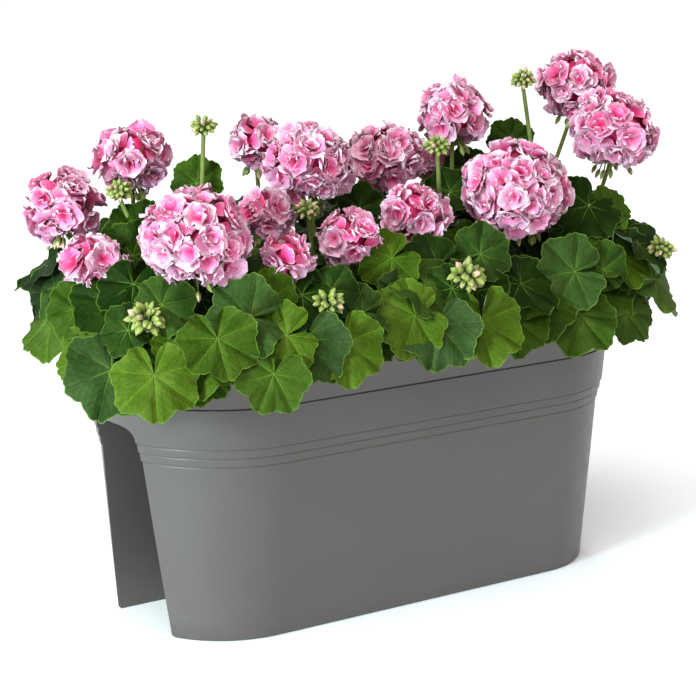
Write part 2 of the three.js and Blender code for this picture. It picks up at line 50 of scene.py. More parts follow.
# Height, half length, half depth and corner radius of the box, outside and inside.
OUTER = [
    (0, 244, 95.5, 87), (3, 247, 98.5, 90), (162.8, 262.6, 110.8, 108), (163.3, 262.3, 110.5, 107.7),
    (164.4, 263.9, 111.9, 108.9), (171, 264.6, 112.5, 109.5), (171.5, 264.3, 112.2, 109.2),
    (172.6, 265.9, 113.6, 110.4), (179.3, 266.6, 114.2, 111), (179.8, 266.3, 113.9, 110.7),
    (180.9, 267.9, 115.3, 111.9), (216.2, 271.1, 118.1, 114.9), (216.9, 269.8, 116.8, 113.8),
    (218.1, 271.3, 118.3, 114.7), (232, 275, 122, 107), (248, 282, 129, 95),
    (260, 288, 134.4, 85), (265, 290, 136, 82), (268.5, 289, 135, 81), (270, 286.8, 132.8, 79),
]
INNER = [
    (WALL, 243.5, 95, 86.5), (162, 259.4, 107.6, 104.8), (183, 264.8, 112.2, 108.8),
    (221, 267.6, 114.6, 110.6), (248, 278.6, 125.6, 91.6), (265, 284, 130, 76), (270, 284, 130, 76),
]
# The last level of the slot's round corner is at last_turn degrees, clear of the flat ceiling, so
# that the rounding of its edge does not fold over itself.
SLOT = dict(foot_half=48, top_half=34.3, shoulder=183, ceiling=194, corner=20, steps=8, last_turn=66)
DRAIN = dict(radius=4, x=150, y=74, sides=20)
# Extra levels: on the long plain wall, and close to the fine lines so that the bands stay flat.
WALL_LEVELS = (20, 60, 100, 140, 161.8, 165.3, 170.1, 173.5, 178.4, 181.8, 215.3, 219.1)
RING = dict(end=24, straight=14, gap=8)   # cells round a quarter, along a side and over the slot
EDGE_ROUND = 0.5
CREASE = 65                           # faces that meet at a greater turn keep a hard edge

SOIL = dict(gap=0.6, top=243, lump=4, rough=2.4, rings=30, foot=3.3, wall_top=236, crumbs=420)
# Crumbs: where they lie, how far they keep from the wall, and their size and shape.
CRUMB = {"half": (262, 104), "inset": 8, "least": 1.6, "more": 3.4, "stretch": 0.8, "flat": 0.7,
         "raise": 0.2}

PLANT_PITCH = 140
PLANTS = 4
STEM = dict(root_y=58, root_z=200, neck_z=262, head_z=318, arm_y=52, radius=5.5, tip_radius=3.6,
            fork_drop=5, bend_rise=22)
STALK = dict(near=0.4, spread=0.55, low=24, below=28, bend_at=0.58, clear=6, sag=4, drop=0.5,
             radius=1.25, root_radius=1.8)
PEDUNCLE = dict(arm_share=0.9, below=20, bend=(0.62, 0.6, 0.45), radius=2.5, tip_radius=1.9)

# Rows of leaves as in the part: half length and depth, corner, height, outward and downward
# lean, leaf radius, pitch, and the offset of the cell borders.
LEAF_ROWS = [
    dict(half=(304, 141), corner=90, z=284, out=0.45, down=0.89, radius=42, pitch=70, border=0),
    dict(half=(293, 131), corner=88, z=319, out=0.72, down=0.69, radius=39, pitch=74, border=24),
    dict(half=(254, 90), corner=72, z=348, out=0.89, down=0.45, radius=37, pitch=74, border=-24),
    dict(half=(214, 44), corner=40, z=367, out=0.97, down=0.25, radius=35, pitch=76, border=0),
]
# Rows that only the scene has: they close the gaps over the soil and behind the others.
FILL_ROWS = [
    dict(half=(288, 126), corner=88, z=306, out=0.45, down=0.89, radius=36, pitch=66, border=0),
    dict(half=(270, 108), corner=80, z=306, out=0.62, down=0.78, radius=40, pitch=62, border=0),
    dict(half=(240, 82), corner=70, z=322, out=0.85, down=0.52, radius=40, pitch=62, border=0),
    dict(half=(190, 46), corner=40, z=338, out=0.95, down=0.30, radius=40, pitch=66, border=0),
    dict(half=(120, 14), corner=12, z=352, out=0.98, down=0.20, radius=38, pitch=62, border=0),
    dict(half=(225, 62), corner=55, z=290, out=0.9, down=0.4, radius=42, pitch=70, border=0),
]
LEAF = dict(lobes=7, lobe=0.07, taper=0.42, cup=0.05, flat_cup=0.4, wave=0.05, waves=3,
            lift=5, hidden_shift=26, bloom_gap=5, cell_gap=1, end_from=285, end_tuck=9)
ROW_TONES = (0.55, 0.46, 0.38, 0.38)   # of the part's rows, from the lowest
# The rows that only the scene has get a darker tone: painted shade deep in the plant.
SHADED_DEEP_TONE = 0.22                      # of the rows that only the scene has
# Each group of leaves counts on from its own index, so that its variety stays its own.
FIRST_LEAF = dict(rows=0, fill=200, front=400)
LEAF_VARIETY = dict(shift=0.3, small=0.86, size=0.2, lean=0.1, turn=0.9, height=5)
# Row leaves bent clear of a neighbour: how far along the tip and the normal, by leaf index.
BENT_CLEAR = {10: (-14, 0), 28: (0, 8), 35: (0, 14), 73: (0, 1.5)}
BLADE = dict(teeth=27, tooth=0.055, sinus=0.16, thickness=0.7, fold=0.15, swell=0.17, ruffle=0.032,
             droop=0.18, curl=0.26)
# Angular cells and rings of a blade: near leaves, and those deep in the plant.
NEAR_BLADE = (88, (0.07, 0.26, 0.46, 0.66, 0.83, 0.94, 1.0))
DEEP_BLADE = (70, (0.1, 0.38, 0.66, 0.88, 1.0))

# Leaves that only the scene has, listed one by one, most of them at the front: plant, place, the
# way the blade faces (azimuth and elevation), the turn of its tip from straight down, radius, tone
# and greyness.
FRONT_SIZE = 0.93
# A leaf's greyness is a painted grey sheen.
FRONT_LEAVES = [
    (0, (-316, -52, 268), -62, 22, -70, 37, 0.85, 0.0),
    (0, (-316, -90, 264), -45, 28, -15, 44, 0.42, 0.8),
    (0, (-299, -131, 265), -35, 24, 5, 41, 0.86, 0.0), (0, (-302, -94, 297), -45, 25, -80, 26, 0.35, 0.1),
    (0, (-311, -22, 304), -60, 28, -75, 31, 0.60, 0.1),
    (0, (-295, -60, 316), -45, 35, -45, 40, 0.30, 0.0),
    (0, (-282, -70, 330), -40, 42, 0, 36, 0.18, 0.0), (0, (-276, -106, 317), -30, 32, 110, 31, 0.48, 0.3),
    (0, (-249, -150, 293), -25, 28, 10, 38, 0.68, 0.1),
    (0, (-259, -136, 267), -25, 20, -5, 33, 0.58, 0.0),
    (0, (-213, -146, 306), -30, 24, -85, 40, 0.50, 0.6),
    (0, (-190, -122, 334), -25, 38, 60, 32, 0.30, 0.2),
    (1, (-209, -173, 262), -25, 24, -25, 35, 0.66, 0.2),
    (1, (-187, -160, 290), -30, 24, -70, 36, 0.88, 0.0),
    (1, (-170, -164, 285), -25, 26, -15, 43, 0.42, 0.9),
    (1, (-135, -170, 279), -20, 22, 5, 40, 0.86, 0.0),
    (1, (-187, -140, 318), -30, 30, -120, 28, 0.62, 0.0),
    (1, (-158, -140, 318), -25, 34, -50, 36, 0.26, 0.0),
    (1, (-128, -140, 318), -15, 28, 40, 30, 0.34, 0.2),
    (1, (-100, -148, 297), -20, 26, -80, 31, 0.42, 0.3),
    (2, (-53, -126, 337), -30, 24, -60, 33, 0.66, 0.0), (2, (-5, -132, 325), -25, 30, -60, 42, 0.27, 0.0),
    (2, (-54, -161, 291), -28, 24, -70, 40, 0.86, 0.0),
    (2, (-32, -167, 282), -22, 26, -15, 43, 0.42, 0.9),
    (2, (14, -170, 280), -18, 22, 5, 44, 0.86, 0.0), (2, (-7, -153, 309), -20, 26, -80, 27, 0.36, 0.1),
    (2, (43, -130, 331), -25, 28, 120, 31, 0.42, 0.3), (2, (30, -142, 300), -15, 32, 50, 34, 0.28, 0.0),
    (3, (73, -150, 268), -15, 20, 0, 33, 0.60, 0.0),
    (3, (141, -148, 307), -28, 24, -85, 40, 0.50, 0.5),
    (3, (145, -152, 267), -18, 26, -20, 41, 0.64, 0.2),
    (3, (204, -150, 262), -12, 26, 30, 33, 0.56, 0.3),
    (3, (176, -148, 305), -20, 22, 180, 28, 0.46, 0.2), (3, (219, -100, 352), -20, 30, 80, 27, 0.62, 0.1),
    (3, (203, -94, 356), -25, 30, -30, 38, 0.25, 0.0), (3, (252, -110, 322), -5, 35, 20, 32, 0.40, 0.4),
    (0, (-246, -20, 362), -35, 22, -140, 34, 0.34, 0.0),
    (0, (-256, -24, 345), -35, 28, 165, 32, 0.42, 0.1),
    (0, (-173, 4, 398), -35, 20, 178, 26, 0.55, 0.1), (3, (186, 4, 408), -35, 20, 170, 26, 0.50, 0.1),
    (2, (134, 4, 384), -35, 24, -165, 26, 0.40, 0.1), (2, (86, -30, 372), -35, 30, 150, 28, 0.36, 0.1),
    (2, (-10, -16, 362), -35, 30, 170, 26, 0.36, 0.1), (0, (-232, -98, 316), -30, 40, -30, 34, 0.22, 0.1),
    (3, (264, -92, 300), 8, 26, 15, 33, 0.46, 0.1), (3, (300, -60, 292), 10, 20, -30, 36, 0.52, 0.2),
]

# Flower heads: name, plant, centre and radius.
BLOOMS = [
    ("a", 0, (-289, 40, 383), 38), ("b", 0, (-291, -20, 340), 32), ("c", 0, (-207, 60, 415), 38),
    ("d", 0, (-239, -100, 369), 52), ("e", 1, (-72, -25, 411), 45), ("f", 1, (-74, 60, 420), 28),
    ("g", 1, (-128, -40, 372), 26), ("h", 1, (-159, -118, 347), 26), ("j", 1, (-80, -100, 352), 33),
    ("k", 2, (6, -80, 364), 36), ("l", 2, (31, 0, 405), 40), ("m", 2, (124, 50, 391), 24),
    ("n", 2, (111, 0, 442), 38), ("p", 2, (112, -96, 379), 54), ("q", 3, (276, 14, 458), 42),
    ("r", 3, (246, -78, 424), 46),
]
HEAD_SEAT = (0.55, 0.09)              # core and foot of a head's seat, in head radii
# Bud clusters on stalks of their own: plant, centre, radius and number of buds.
BUD_CLUSTERS = [
    (0, (-168, 0, 448), 13, 30), (0, (-254, 0, 398), 13, 30), (3, (197, 0, 469), 13, 30),
    (3, (261, -133, 314), 15, 32), (0, (-289, -104, 306), 18, 40), (1, (-139, -152, 311), 15, 34),
    (2, (10, -152, 317), 19, 42), (1, (-100, -64, 376), 13, 30), (2, (47, -60, 421), 13, 30),
]
FLORET = dict(radius=17, cover=2.2, spread=0.95, depth=15, least=9, between=1.5, squash=0.88)
# Layers of a floret: petals, length, width, lean, curl and share of the deep inner colour.
FLORET_LAYERS = (
    (5, 1.00, 1.20, 0.80, 0.50, 0.0),
    (4, 0.86, 1.05, 0.48, 0.60, 0.3),
    (2, 0.66, 0.90, 0.16, 0.50, 0.8),
)
PETAL = dict(foot=0.2, widest=0.66, tip=0.55, short=0.16, frill=0.08, cup=-0.1, cups=0.5, thin=0.35)
PETAL_GRID = (7, 6)                   # points across and along a petal
CORE = dict(rows=14, columns=26, pole=0.02, ruffle=0.13)
PEDICEL = dict(count=9, spread=0.7, reach=0.62, bow=0.08, radius=0.9, tip_radius=0.8)
BUD = dict(sides=8, ribs=4, rib=0.12, tip=1.03)
# Places along a bud and its width there, as shares of its length and its widest.
BUD_PROFILE = ((0.0, 0.35), (0.18, 0.85), (0.42, 1.0), (0.68, 0.8), (0.88, 0.4), (1.0, 0.06))

# ------------------------------------------------------------------ gathering meshes


class Pile:
    """Points (mm), faces and point values, gathered and then made into one piece."""

    def __init__(self):
        self.points = []
        self.faces = {3: [], 4: []}
        self.slots = {3: [], 4: []}
        self.values = {}
        self.count = 0

    def add(self, points, parts, **values):
        """Points with several arrays of faces over them, each with its material slot."""
        points = np.asarray(points, float).reshape(-1, 3)
        for faces, slot in parts:
            faces = np.asarray(faces, int)
            size = faces.shape[1]
            self.faces[size].append(faces + self.count)
            self.slots[size].append(np.full(len(faces), slot))
        for name, value in values.items():
            rows = self.values.setdefault(name, [np.zeros(self.count)] if self.count else [])
            rows.append(np.broadcast_to(value, (len(points),)).astype(float))
        for name, rows in self.values.items():
            if name not in values:
                rows.append(np.zeros(len(points)))
        self.points.append(points)
        self.count += len(points)

    def make(self, name, materials):
        points = np.concatenate(self.points) * MM
        triangles = np.concatenate(self.faces[3] or [np.zeros((0, 3), int)])
        quads = np.concatenate(self.faces[4] or [np.zeros((0, 4), int)])
        loops = np.concatenate([triangles.ravel(), quads.ravel()]).astype(np.int32)
        starts = np.concatenate([
            np.arange(len(triangles)) * 3, 3 * len(triangles) + np.arange(len(quads)) * 4,
        ]).astype(np.int32)
        slots = np.concatenate((self.slots[3] + self.slots[4]) or [np.zeros(0)]).astype(np.int32)
        mesh = bpy.data.meshes.new(name)
        mesh.vertices.add(len(points))
        mesh.vertices.foreach_set("co", points.astype(np.float32).ravel())
        mesh.loops.add(len(loops))
        mesh.loops.foreach_set("vertex_index", loops)
        mesh.polygons.add(len(starts))
        mesh.polygons.foreach_set("loop_start", starts)
        mesh.polygons.foreach_set("material_index", slots)
        mesh.polygons.foreach_set("use_smooth", np.full(len(starts), True))
        mesh.update(calc_edges=True)
        mesh.validate()
        mesh.set_sharp_from_angle(angle=math.radians(CREASE))
        for value, rows in self.values.items():
            layer = mesh.attributes.new(value, "FLOAT", "POINT")
            layer.data.foreach_set("value", np.concatenate(rows).astype(np.float32))
        for material in materials:
            mesh.materials.append(material)
        return add_object(name, mesh)


def add_object(name, data, place=(0, 0, 0), back=None):
    """An object at a place in metres. A light or camera looks away from back."""
    item = bpy.data.objects.new(name, data)
    bpy.context.scene.collection.objects.link(item)
    item.location = place
    if back is not None:
        item.rotation_mode = "QUATERNION"
        item.rotation_quaternion = (-back).to_track_quat("-Z", "Y")
    return item


def unit(v):
    return v / np.linalg.norm(v)


def grid_faces(rows, columns):
    """Quads of a grid of points stored row by row."""
    i, j = np.meshgrid(np.arange(rows - 1), np.arange(columns - 1), indexing="ij")
    a = (i * columns + j).ravel()
    return np.stack([a, a + 1, a + columns + 1, a + columns], 1)


def vary(index, channel):
    """A number from 0 to 1 that depends only on the item's index and the channel."""
    value = math.sin(index * 12.9898 + channel * 78.233 + 4.17) * 43758.5453
    return value - math.floor(value)


def smooth_path(points, steps):
    """Points along a Catmull-Rom curve through the given ones."""
    way = [np.asarray(p, float) for p in points]
    ends = [2 * way[0] - way[1]] + way + [2 * way[-1] - way[-2]]
    found = []
    spans = len(way) - 1
    for k in range(steps + 1):
        t = spans * k / steps
        i = min(int(t), spans - 1)
        t -= i
        p0, p1, p2, p3 = ends[i:i + 4]
        found.append(0.5 * (2 * p1 + (p2 - p0) * t + (2 * p0 - 5 * p1 + 4 * p2 - p3) * t ** 2
                            + (3 * p1 - p0 - 3 * p2 + p3) * t ** 3))
    return np.array(found)


def band(first, second, count):
    """Quads between two closed rings of points that start at the given indices."""
    return [(first + c, first + (c + 1) % count, second + (c + 1) % count, second + c)
            for c in range(count)]


def loft(rings, low, high):
    """Points, side faces and end caps of a closed body through rings of points."""
    rows, sides, _ = rings.shape
    turn = np.arange(sides)
    after = (turn + 1) % sides
    total = rows * sides
    last = total - sides
    quads = np.concatenate([band(r * sides, (r + 1) * sides, sides) for r in range(rows - 1)])
    caps = np.concatenate([
        np.stack([np.full(sides, total), after, turn], 1),
        np.stack([np.full(sides, total + 1), last + turn, last + after], 1)])
    return np.concatenate([rings.reshape(-1, 3), [low, high]]), quads, caps


def flipped(faces):
    """The same faces from the same first points, facing the other way."""
    return np.roll(faces[:, ::-1], 1, axis=1)


def add_tube(pile, points, start_radius, end_radius, sides=7, steps=10, **values):
    """A tapered closed tube along a smooth path; stalk_v runs from 0 to 1 along it."""
    way = smooth_path(points, steps)
    ahead = np.gradient(way, axis=0)
    ahead /= np.linalg.norm(ahead, axis=1)[:, None]
    side = np.cross([1.0, 0.13, 0.0], ahead)
    side /= np.linalg.norm(side, axis=1)[:, None]
    other = np.cross(ahead, side)
    angle = TAU * np.arange(sides) / sides
    share = np.linspace(0, 1, steps + 1)
    radius = start_radius + (end_radius - start_radius) * share
    rings = (way[:, None] + radius[:, None, None] * (
        side[:, None] * np.cos(angle)[None, :, None]
        + other[:, None] * np.sin(angle)[None, :, None]))
    body, quads, caps = loft(rings, way[0], way[-1])
    along = np.concatenate([np.repeat(share, sides), [0, 1]])
    pile.add(body, [(quads, 0), (caps, 0)], stalk_v=along, **values)


# ------------------------------------------------------------------ shader helpers


class Shader:
    """A material with one Principled shader, and short calls for its nodes."""

    def __init__(self, name, color, roughness, **fixed):
        self.material = bpy.data.materials.new(name)
        self.material.use_nodes = True
        self.tree = self.material.node_tree
        self.out = self.tree.nodes["Principled BSDF"]
        self.set("Base Color", color)
        self.set("Roughness", roughness)
        for socket, value in fixed.items():
            self.set(socket.replace("_", " "), value)

    def set(self, socket, value):
        self.join(value, self.out.inputs[socket])

    def join(self, value, socket):
        if isinstance(value, bpy.types.NodeSocket):
            self.tree.links.new(value, socket)
        elif isinstance(value, (tuple, list)) and len(value) == 3 and socket.type == "RGBA":
            socket.default_value = (*value, 1)
        else:
            socket.default_value = value

    def node(self, kind, settings=None, **inputs):
        node = self.tree.nodes.new(kind)
        for key, value in (settings or {}).items():
            setattr(node, key, value)
        for key, value in inputs.items():
            self.join(value, node.inputs[key.replace("_", " ")])
        return node

    def value(self, name):
        """The point value of that name, stored on the mesh."""
        return self.node("ShaderNodeAttribute", {"attribute_name": name}).outputs["Fac"]

    def place(self):
        return self.node("ShaderNodeTexCoord").outputs["Object"]

    def math(self, operation, a, b=0.0):
        node = self.tree.nodes.new("ShaderNodeMath")
        node.operation = operation
        self.join(a, node.inputs[0])
        self.join(b, node.inputs[1])
        return node.outputs[0]

    def times(self, a, b):
        return self.math("MULTIPLY", a, b)

    def plus(self, a, b):
        return self.math("ADD", a, b)

    def minus(self, a, b):
        return self.math("SUBTRACT", a, b)

    def sway(self, value, reach):
        """How far a value is from a half, times the reach."""
        return self.times(self.minus(value, 0.5), reach)

    def ramp(self, value, low, high, start=0.0, end=1.0):
        """Takes value from low..high to start..end, held at both ends."""
        node = self.tree.nodes.new("ShaderNodeMapRange")
        for k, each in enumerate((value, low, high, start, end)):
            self.join(each, node.inputs[k])
        return node.outputs[0]

    def mix(self, share, a, b, blend="MIX"):
        node = self.tree.nodes.new("ShaderNodeMix")
        node.data_type = "RGBA"
        node.blend_type = blend
        self.join(share, node.inputs[0])
        self.join(a, node.inputs[6])
        self.join(b, node.inputs[7])
        return node.outputs[2]

    def noise(self, scale, detail=3.0, roughness=0.55, vector=None):
        return self.node(
            "ShaderNodeTexNoise", Vector=vector or self.place(), Scale=scale, Detail=detail,
            Roughness=roughness).outputs["Fac"]

    def cells(self, scale):
        cells = self.node("ShaderNodeTexVoronoi", Vector=self.place(), Scale=scale)
        return cells.outputs["Distance"]

    def colours(self, value, stops):
        """A colour ramp through (place, colour) stops."""
        node = self.tree.nodes.new("ShaderNodeValToRGB")
        self.join(value, node.inputs[0])
        elements = node.color_ramp.elements
        while len(elements) < len(stops):
            elements.new(0.5)
        for element, (place, colour) in zip(elements, stops):
            element.position = place
            element.color = (*colour, 1)
        return node.outputs[0]

    def bump(self, height, distance, strength, under=None):
        node = self.node("ShaderNodeBump", Height=height, Distance=distance, Strength=strength)
        if under is not None:
            self.join(under, node.inputs["Normal"])
        return node.outputs[0]


# ------------------------------------------------------------------ materials


def plastic_material():
    s = Shader("satin_grey_plastic", (0.085, 0.078, 0.072), 0.40)
    cloudy = s.noise(9, 4)
    scuffs = s.noise(70, 6, 0.7)
    height = s.node("ShaderNodeSeparateXYZ", Vector=s.place()).outputs["Z"]
    dust = s.times(s.ramp(height, 0.0, 0.05, 1, 0), s.ramp(scuffs, 0.4, 0.7))
    tint = s.mix(s.ramp(cloudy, 0.3, 0.7), (0.077, 0.066, 0.061), (0.083, 0.071, 0.066))
    s.set("Base Color", s.mix(s.times(dust, 0.2), tint, (0.15, 0.145, 0.135)))
    s.set("Roughness", s.ramp(scuffs, 0.3, 0.75, 0.36, 0.5))
    grain = s.cells(1900)
    fine = s.bump(grain, 0.00006, 0.35)
    s.set("Normal", s.bump(cloudy, 0.0008, 0.12, fine))
    return s.material


def soil_material():
    s = Shader("potting_soil", (0.03, 0.02, 0.013), 0.95)
    lumps = s.noise(160, 6, 0.7)
    grains = s.cells(420)
    base = s.colours(lumps, [(0.3, (0.008, 0.005, 0.003)), (0.5, (0.03, 0.019, 0.012)),
                             (0.72, (0.075, 0.05, 0.033))])
    fibre = s.ramp(s.noise(700, 2), 0.62, 0.7)
    s.set("Base Color", s.mix(s.times(fibre, 0.5), base, (0.16, 0.11, 0.07)))
    s.set("Normal", s.bump(grains, 0.0012, 0.7, s.bump(lumps, 0.003, 0.8)))
    return s.material


def leaf_veins(s):
    """Main veins, the bands beside them, and the branches, from 0 to 1 over a blade."""
    turn = s.times(s.value("leaf_angle"), LEAF["lobes"] / TAU)
    off = s.times(s.minus(turn, s.math("ROUND", turn)), TAU / LEAF["lobes"])
    reach = s.value("leaf_reach")
    share = s.value("leaf_share")
    wander = s.sway(s.noise(70, 2), 2.0)
    across = s.math("ABSOLUTE", s.plus(s.times(reach, s.math("SINE", off)), s.times(wander, share)))
    along = s.times(reach, s.math("COSINE", off))
    main = s.ramp(s.math("DIVIDE", across, s.ramp(share, 0, 1, 1.0, 0.5)), 0.2, 0.8, 1, 0)
    beside = s.ramp(across, 0.6, 4.5, 1, 0)
    slanted = s.minus(along, s.times(across, 1.15))
    branch = s.math("DIVIDE", s.plus(slanted, s.times(wander, 7.0)), 7.5)
    near = s.math("ABSOLUTE", s.minus(branch, s.math("ROUND", branch)))
    lines = s.times(s.ramp(near, 0.02, 0.1, 1, 0), s.ramp(share, 0.16, 0.34))
    return main, beside, lines


def leaf_material():
    s = Shader("leaf_upper", (0.03, 0.08, 0.005), 0.6, Specular_IOR_Level=0.08,
               Specular_Tint=(0.85, 1.0, 0.5))
    main, beside, branches = leaf_veins(s)
    tone = s.value("leaf_tone")
    share = s.value("leaf_share")
    patches = s.noise(38, 3)
    fine = s.noise(160, 3)
    blotch = s.plus(s.sway(patches, 0.55), s.sway(fine, 0.25))
    fresh = s.colours(s.plus(tone, blotch), [
        (0.0, (0.0026, 0.009, 0.0012)), (0.3, (0.008, 0.024, 0.0018)), (0.6, (0.026, 0.055, 0.0026)),
        (0.85, (0.050, 0.090, 0.005)), (1.0, (0.078, 0.128, 0.014))])
    # A painted grey sheen on some leaves, in patches: the blade colour mixed towards grey green.
    grey_sheen = s.times(s.value("leaf_grey"), s.ramp(patches, 0.35, 0.6, 0.3, 1))
    body = s.mix(s.times(grey_sheen, 0.7), fresh, (0.044, 0.078, 0.028))
    zone = s.times(s.ramp(share, 0.28, 0.5), s.ramp(share, 0.6, 0.82, 1, 0))
    body = s.mix(s.times(zone, 0.15), body, (0.006, 0.024, 0.002))
    # Lit and shaded copies of the blade colour: a painted highlight in bands beside the main veins, and
    # painted groove shade along the branch veins.
    light = s.mix(1.0, body, (1.6, 1.5, 1.7), "MULTIPLY")
    shaded_copy = s.mix(1.0, body, (0.40, 0.46, 0.5), "MULTIPLY")
    banded = s.mix(s.times(beside, 0.4), body, light)
    branched = s.mix(s.times(branches, 0.22), banded, shaded_copy)
    # Main vein lines: the shaded copy, as painted groove shade, on darker leaves, and pale green on
    # lighter ones. All are pale near the stalk.
    vein_shaded_to_pale = s.mix(s.ramp(tone, 0.5, 0.85), shaded_copy, (0.12, 0.22, 0.015))
    vein = s.mix(s.ramp(share, 0.25, 0.6), (0.10, 0.18, 0.02), vein_shaded_to_pale)
    veined = s.mix(s.times(main, 0.7), branched, vein)
    rim = s.ramp(share, 0.965, 0.99)
    s.set("Base Color", s.mix(s.times(rim, 0.5), veined, (0.14, 0.24, 0.03)))
    s.set("Roughness", s.ramp(patches, 0.3, 0.7, 0.48, 0.65))
    dips = s.plus(s.times(main, -0.6), s.times(branches, -0.25))
    pucker = s.bump(fine, 0.0022, 0.6, s.bump(s.cells(330), 0.0006, 0.4))
    valley = s.bump(beside, -0.0014, 0.8, pucker)
    s.set("Normal", s.bump(dips, 0.0011, 0.8, valley))
    return s.material


def leaf_under_material():
    s = Shader("leaf_underside", (0.12, 0.2, 0.08), 0.7, Sheen_Weight=0.15)
    main, _, branches = leaf_veins(s)
    ribs = s.math("MAXIMUM", main, s.times(branches, 0.6))
    patches = s.noise(40, 3)
    base = s.mix(s.ramp(patches, 0.3, 0.7), (0.045, 0.095, 0.018), (0.080, 0.145, 0.032))
    s.set("Base Color", s.mix(s.times(ribs, 0.6), base, (0.15, 0.22, 0.07)))
    s.set("Normal", s.bump(ribs, 0.0009, 0.9, s.bump(s.cells(400), 0.0004, 0.4)))
    return s.material


def stalk_material():
    s = Shader("stalk", (0.09, 0.15, 0.02), 0.6, Specular_IOR_Level=0.25, Sheen_Weight=0.15)
    along = s.value("stalk_v")
    wood = s.value("stalk_wood")
    patches = s.noise(60, 3)
    green = s.mix(s.ramp(patches, 0.35, 0.7), (0.075, 0.125, 0.014), (0.14, 0.20, 0.030))
    green = s.mix(s.times(s.ramp(along, 0.5, 1), 0.25), green, (0.20, 0.20, 0.05))
    bark = s.mix(s.ramp(s.noise(240, 4), 0.4, 0.65), (0.09, 0.075, 0.035), (0.17, 0.13, 0.07))
    s.set("Base Color", s.mix(wood, green, bark))
    s.set("Normal", s.bump(s.noise(900, 3), 0.0004, 0.5))
    return s.material


def petal_material():
    s = Shader("petal", (0.8, 0.25, 0.5), 0.5, Sheen_Weight=0.15, Sheen_Roughness=0.4)
    v = s.value("petal_v")
    u = s.value("petal_u")
    tone = s.value("petal_tone")
    inner = s.value("petal_inner")
    low = s.value("petal_low")
    fan = s.math("DIVIDE", s.times(u, 4.2), s.ramp(v, 0, 1, 0.8, 1.15))
    spread = s.node("ShaderNodeCombineXYZ", X=fan, Y=s.times(v, 0.3), Z=s.times(tone, 37))
    streak = s.noise(3.6, 3, 0.6, spread.outputs[0])
    cloud = s.noise(130, 3, 0.6)
    depth = s.plus(v, s.sway(cloud, 0.5))
    depth = s.plus(depth, s.sway(streak, 0.6))
    depth = s.plus(depth, s.sway(tone, 0.55))
    depth = s.minus(depth, s.times(inner, 0.3))
    pink = s.colours(depth, [
        (0.0, (0.80, 0.026, 0.19)), (0.3, (0.74, 0.072, 0.25)), (0.58, (0.67, 0.165, 0.33)),
        (0.82, (0.68, 0.31, 0.43)), (1.0, (0.76, 0.55, 0.62))])
    # Lilac mixed into the downward petals: painted bluish light from below.
    shade = s.mix(s.times(low, 0.5), pink, (0.74, 0.40, 0.60))
    veins = s.times(s.ramp(streak, 0.55, 0.63), s.ramp(v, 0.1, 0.4))
    lined = s.mix(s.times(veins, s.ramp(tone, 0.3, 0.9, 0.35, 0.65)), shade, (0.62, 0.07, 0.32))
    flecks = s.times(s.ramp(s.noise(420, 2), 0.58, 0.68), s.ramp(v, 0.4, 0.9))
    flecked = s.mix(s.times(flecks, 0.45), lined, (0.88, 0.74, 0.80))
    rim = s.ramp(s.value("petal_rim"), 0.15, 0.8, 1, 0)
    pale = s.times(rim, s.ramp(cloud, 0.35, 0.6, 0.25, 0.75))
    s.set("Base Color", s.mix(pale, flecked, (0.86, 0.74, 0.78)))
    s.set("Normal", s.bump(streak, 0.0012, 0.5))
    return s.material


def bud_material():
    s = Shader("bud", (0.3, 0.36, 0.1), 0.5, Sheen_Weight=0.2)
    v = s.value("bud_v")
    tone = s.value("bud_tone")
    sepal = s.noise(500, 2)
    green = s.mix(s.ramp(sepal, 0.35, 0.65), (0.075, 0.12, 0.007), (0.19, 0.24, 0.018))
    cream = s.mix(s.ramp(v, 0.35, 1.0, 0, 0.8), green, (0.34, 0.37, 0.07))
    tip = s.times(s.ramp(tone, 0.78, 0.9), s.ramp(v, 0.35, 0.8))
    s.set("Base Color", s.mix(tip, cream, (0.62, 0.33, 0.26)))
    s.set("Normal", s.bump(sepal, 0.0006, 0.5))
    return s.material


# ------------------------------------------------------------------ the box


def section_at(sections, z):
    """Half length, half depth and corner radius at a height, between the sections."""
    table = np.array(sections, float)
    return [float(np.interp(z, table[:, 0], table[:, k])) for k in (1, 2, 3)]


def slot_half(z, grow):
    """Half width of the rail slot at a height; above its ceiling, that of the flat part."""
    foot, top = SLOT["foot_half"] + grow, SLOT["top_half"] + grow
    flat = SLOT["top_half"] - SLOT["corner"] + grow * 0.5
    rise = SLOT["ceiling"] + grow - SLOT["shoulder"]
    if z <= SLOT["shoulder"]:
        return foot + (top - foot) * z / SLOT["shoulder"]
    lift = min(1.0, (z - SLOT["shoulder"]) / rise)
    return flat + (top - flat) * math.sqrt(1 - lift * lift)


def end_x(y, half_x, half_y, corner):
    """How far the round end reaches at a given y."""
    aside = max(0.0, abs(y) - (half_y - corner))
    return half_x - corner + math.sqrt(max(0.0, corner * corner - aside * aside))


def quarter(half_x, half_y, corner, slot, cells):
    """Points from the slot's edge round the end to the start of the long side."""
    flat = half_y - corner
    straight = max(0.0, flat - slot)
    start = math.asin(min(1.0, max(0.0, slot - flat) / corner))
    arc = corner * (math.pi / 2 - start)
    points = []
    for i in range(cells + 1):
        s = (straight + arc) * i / cells
        if s < straight:
            points.append((half_x, slot + s))
        else:
            angle = start + (s - straight) / corner
            points.append((half_x - corner + corner * math.cos(angle),
                           flat + corner * math.sin(angle)))
    return np.array(points)


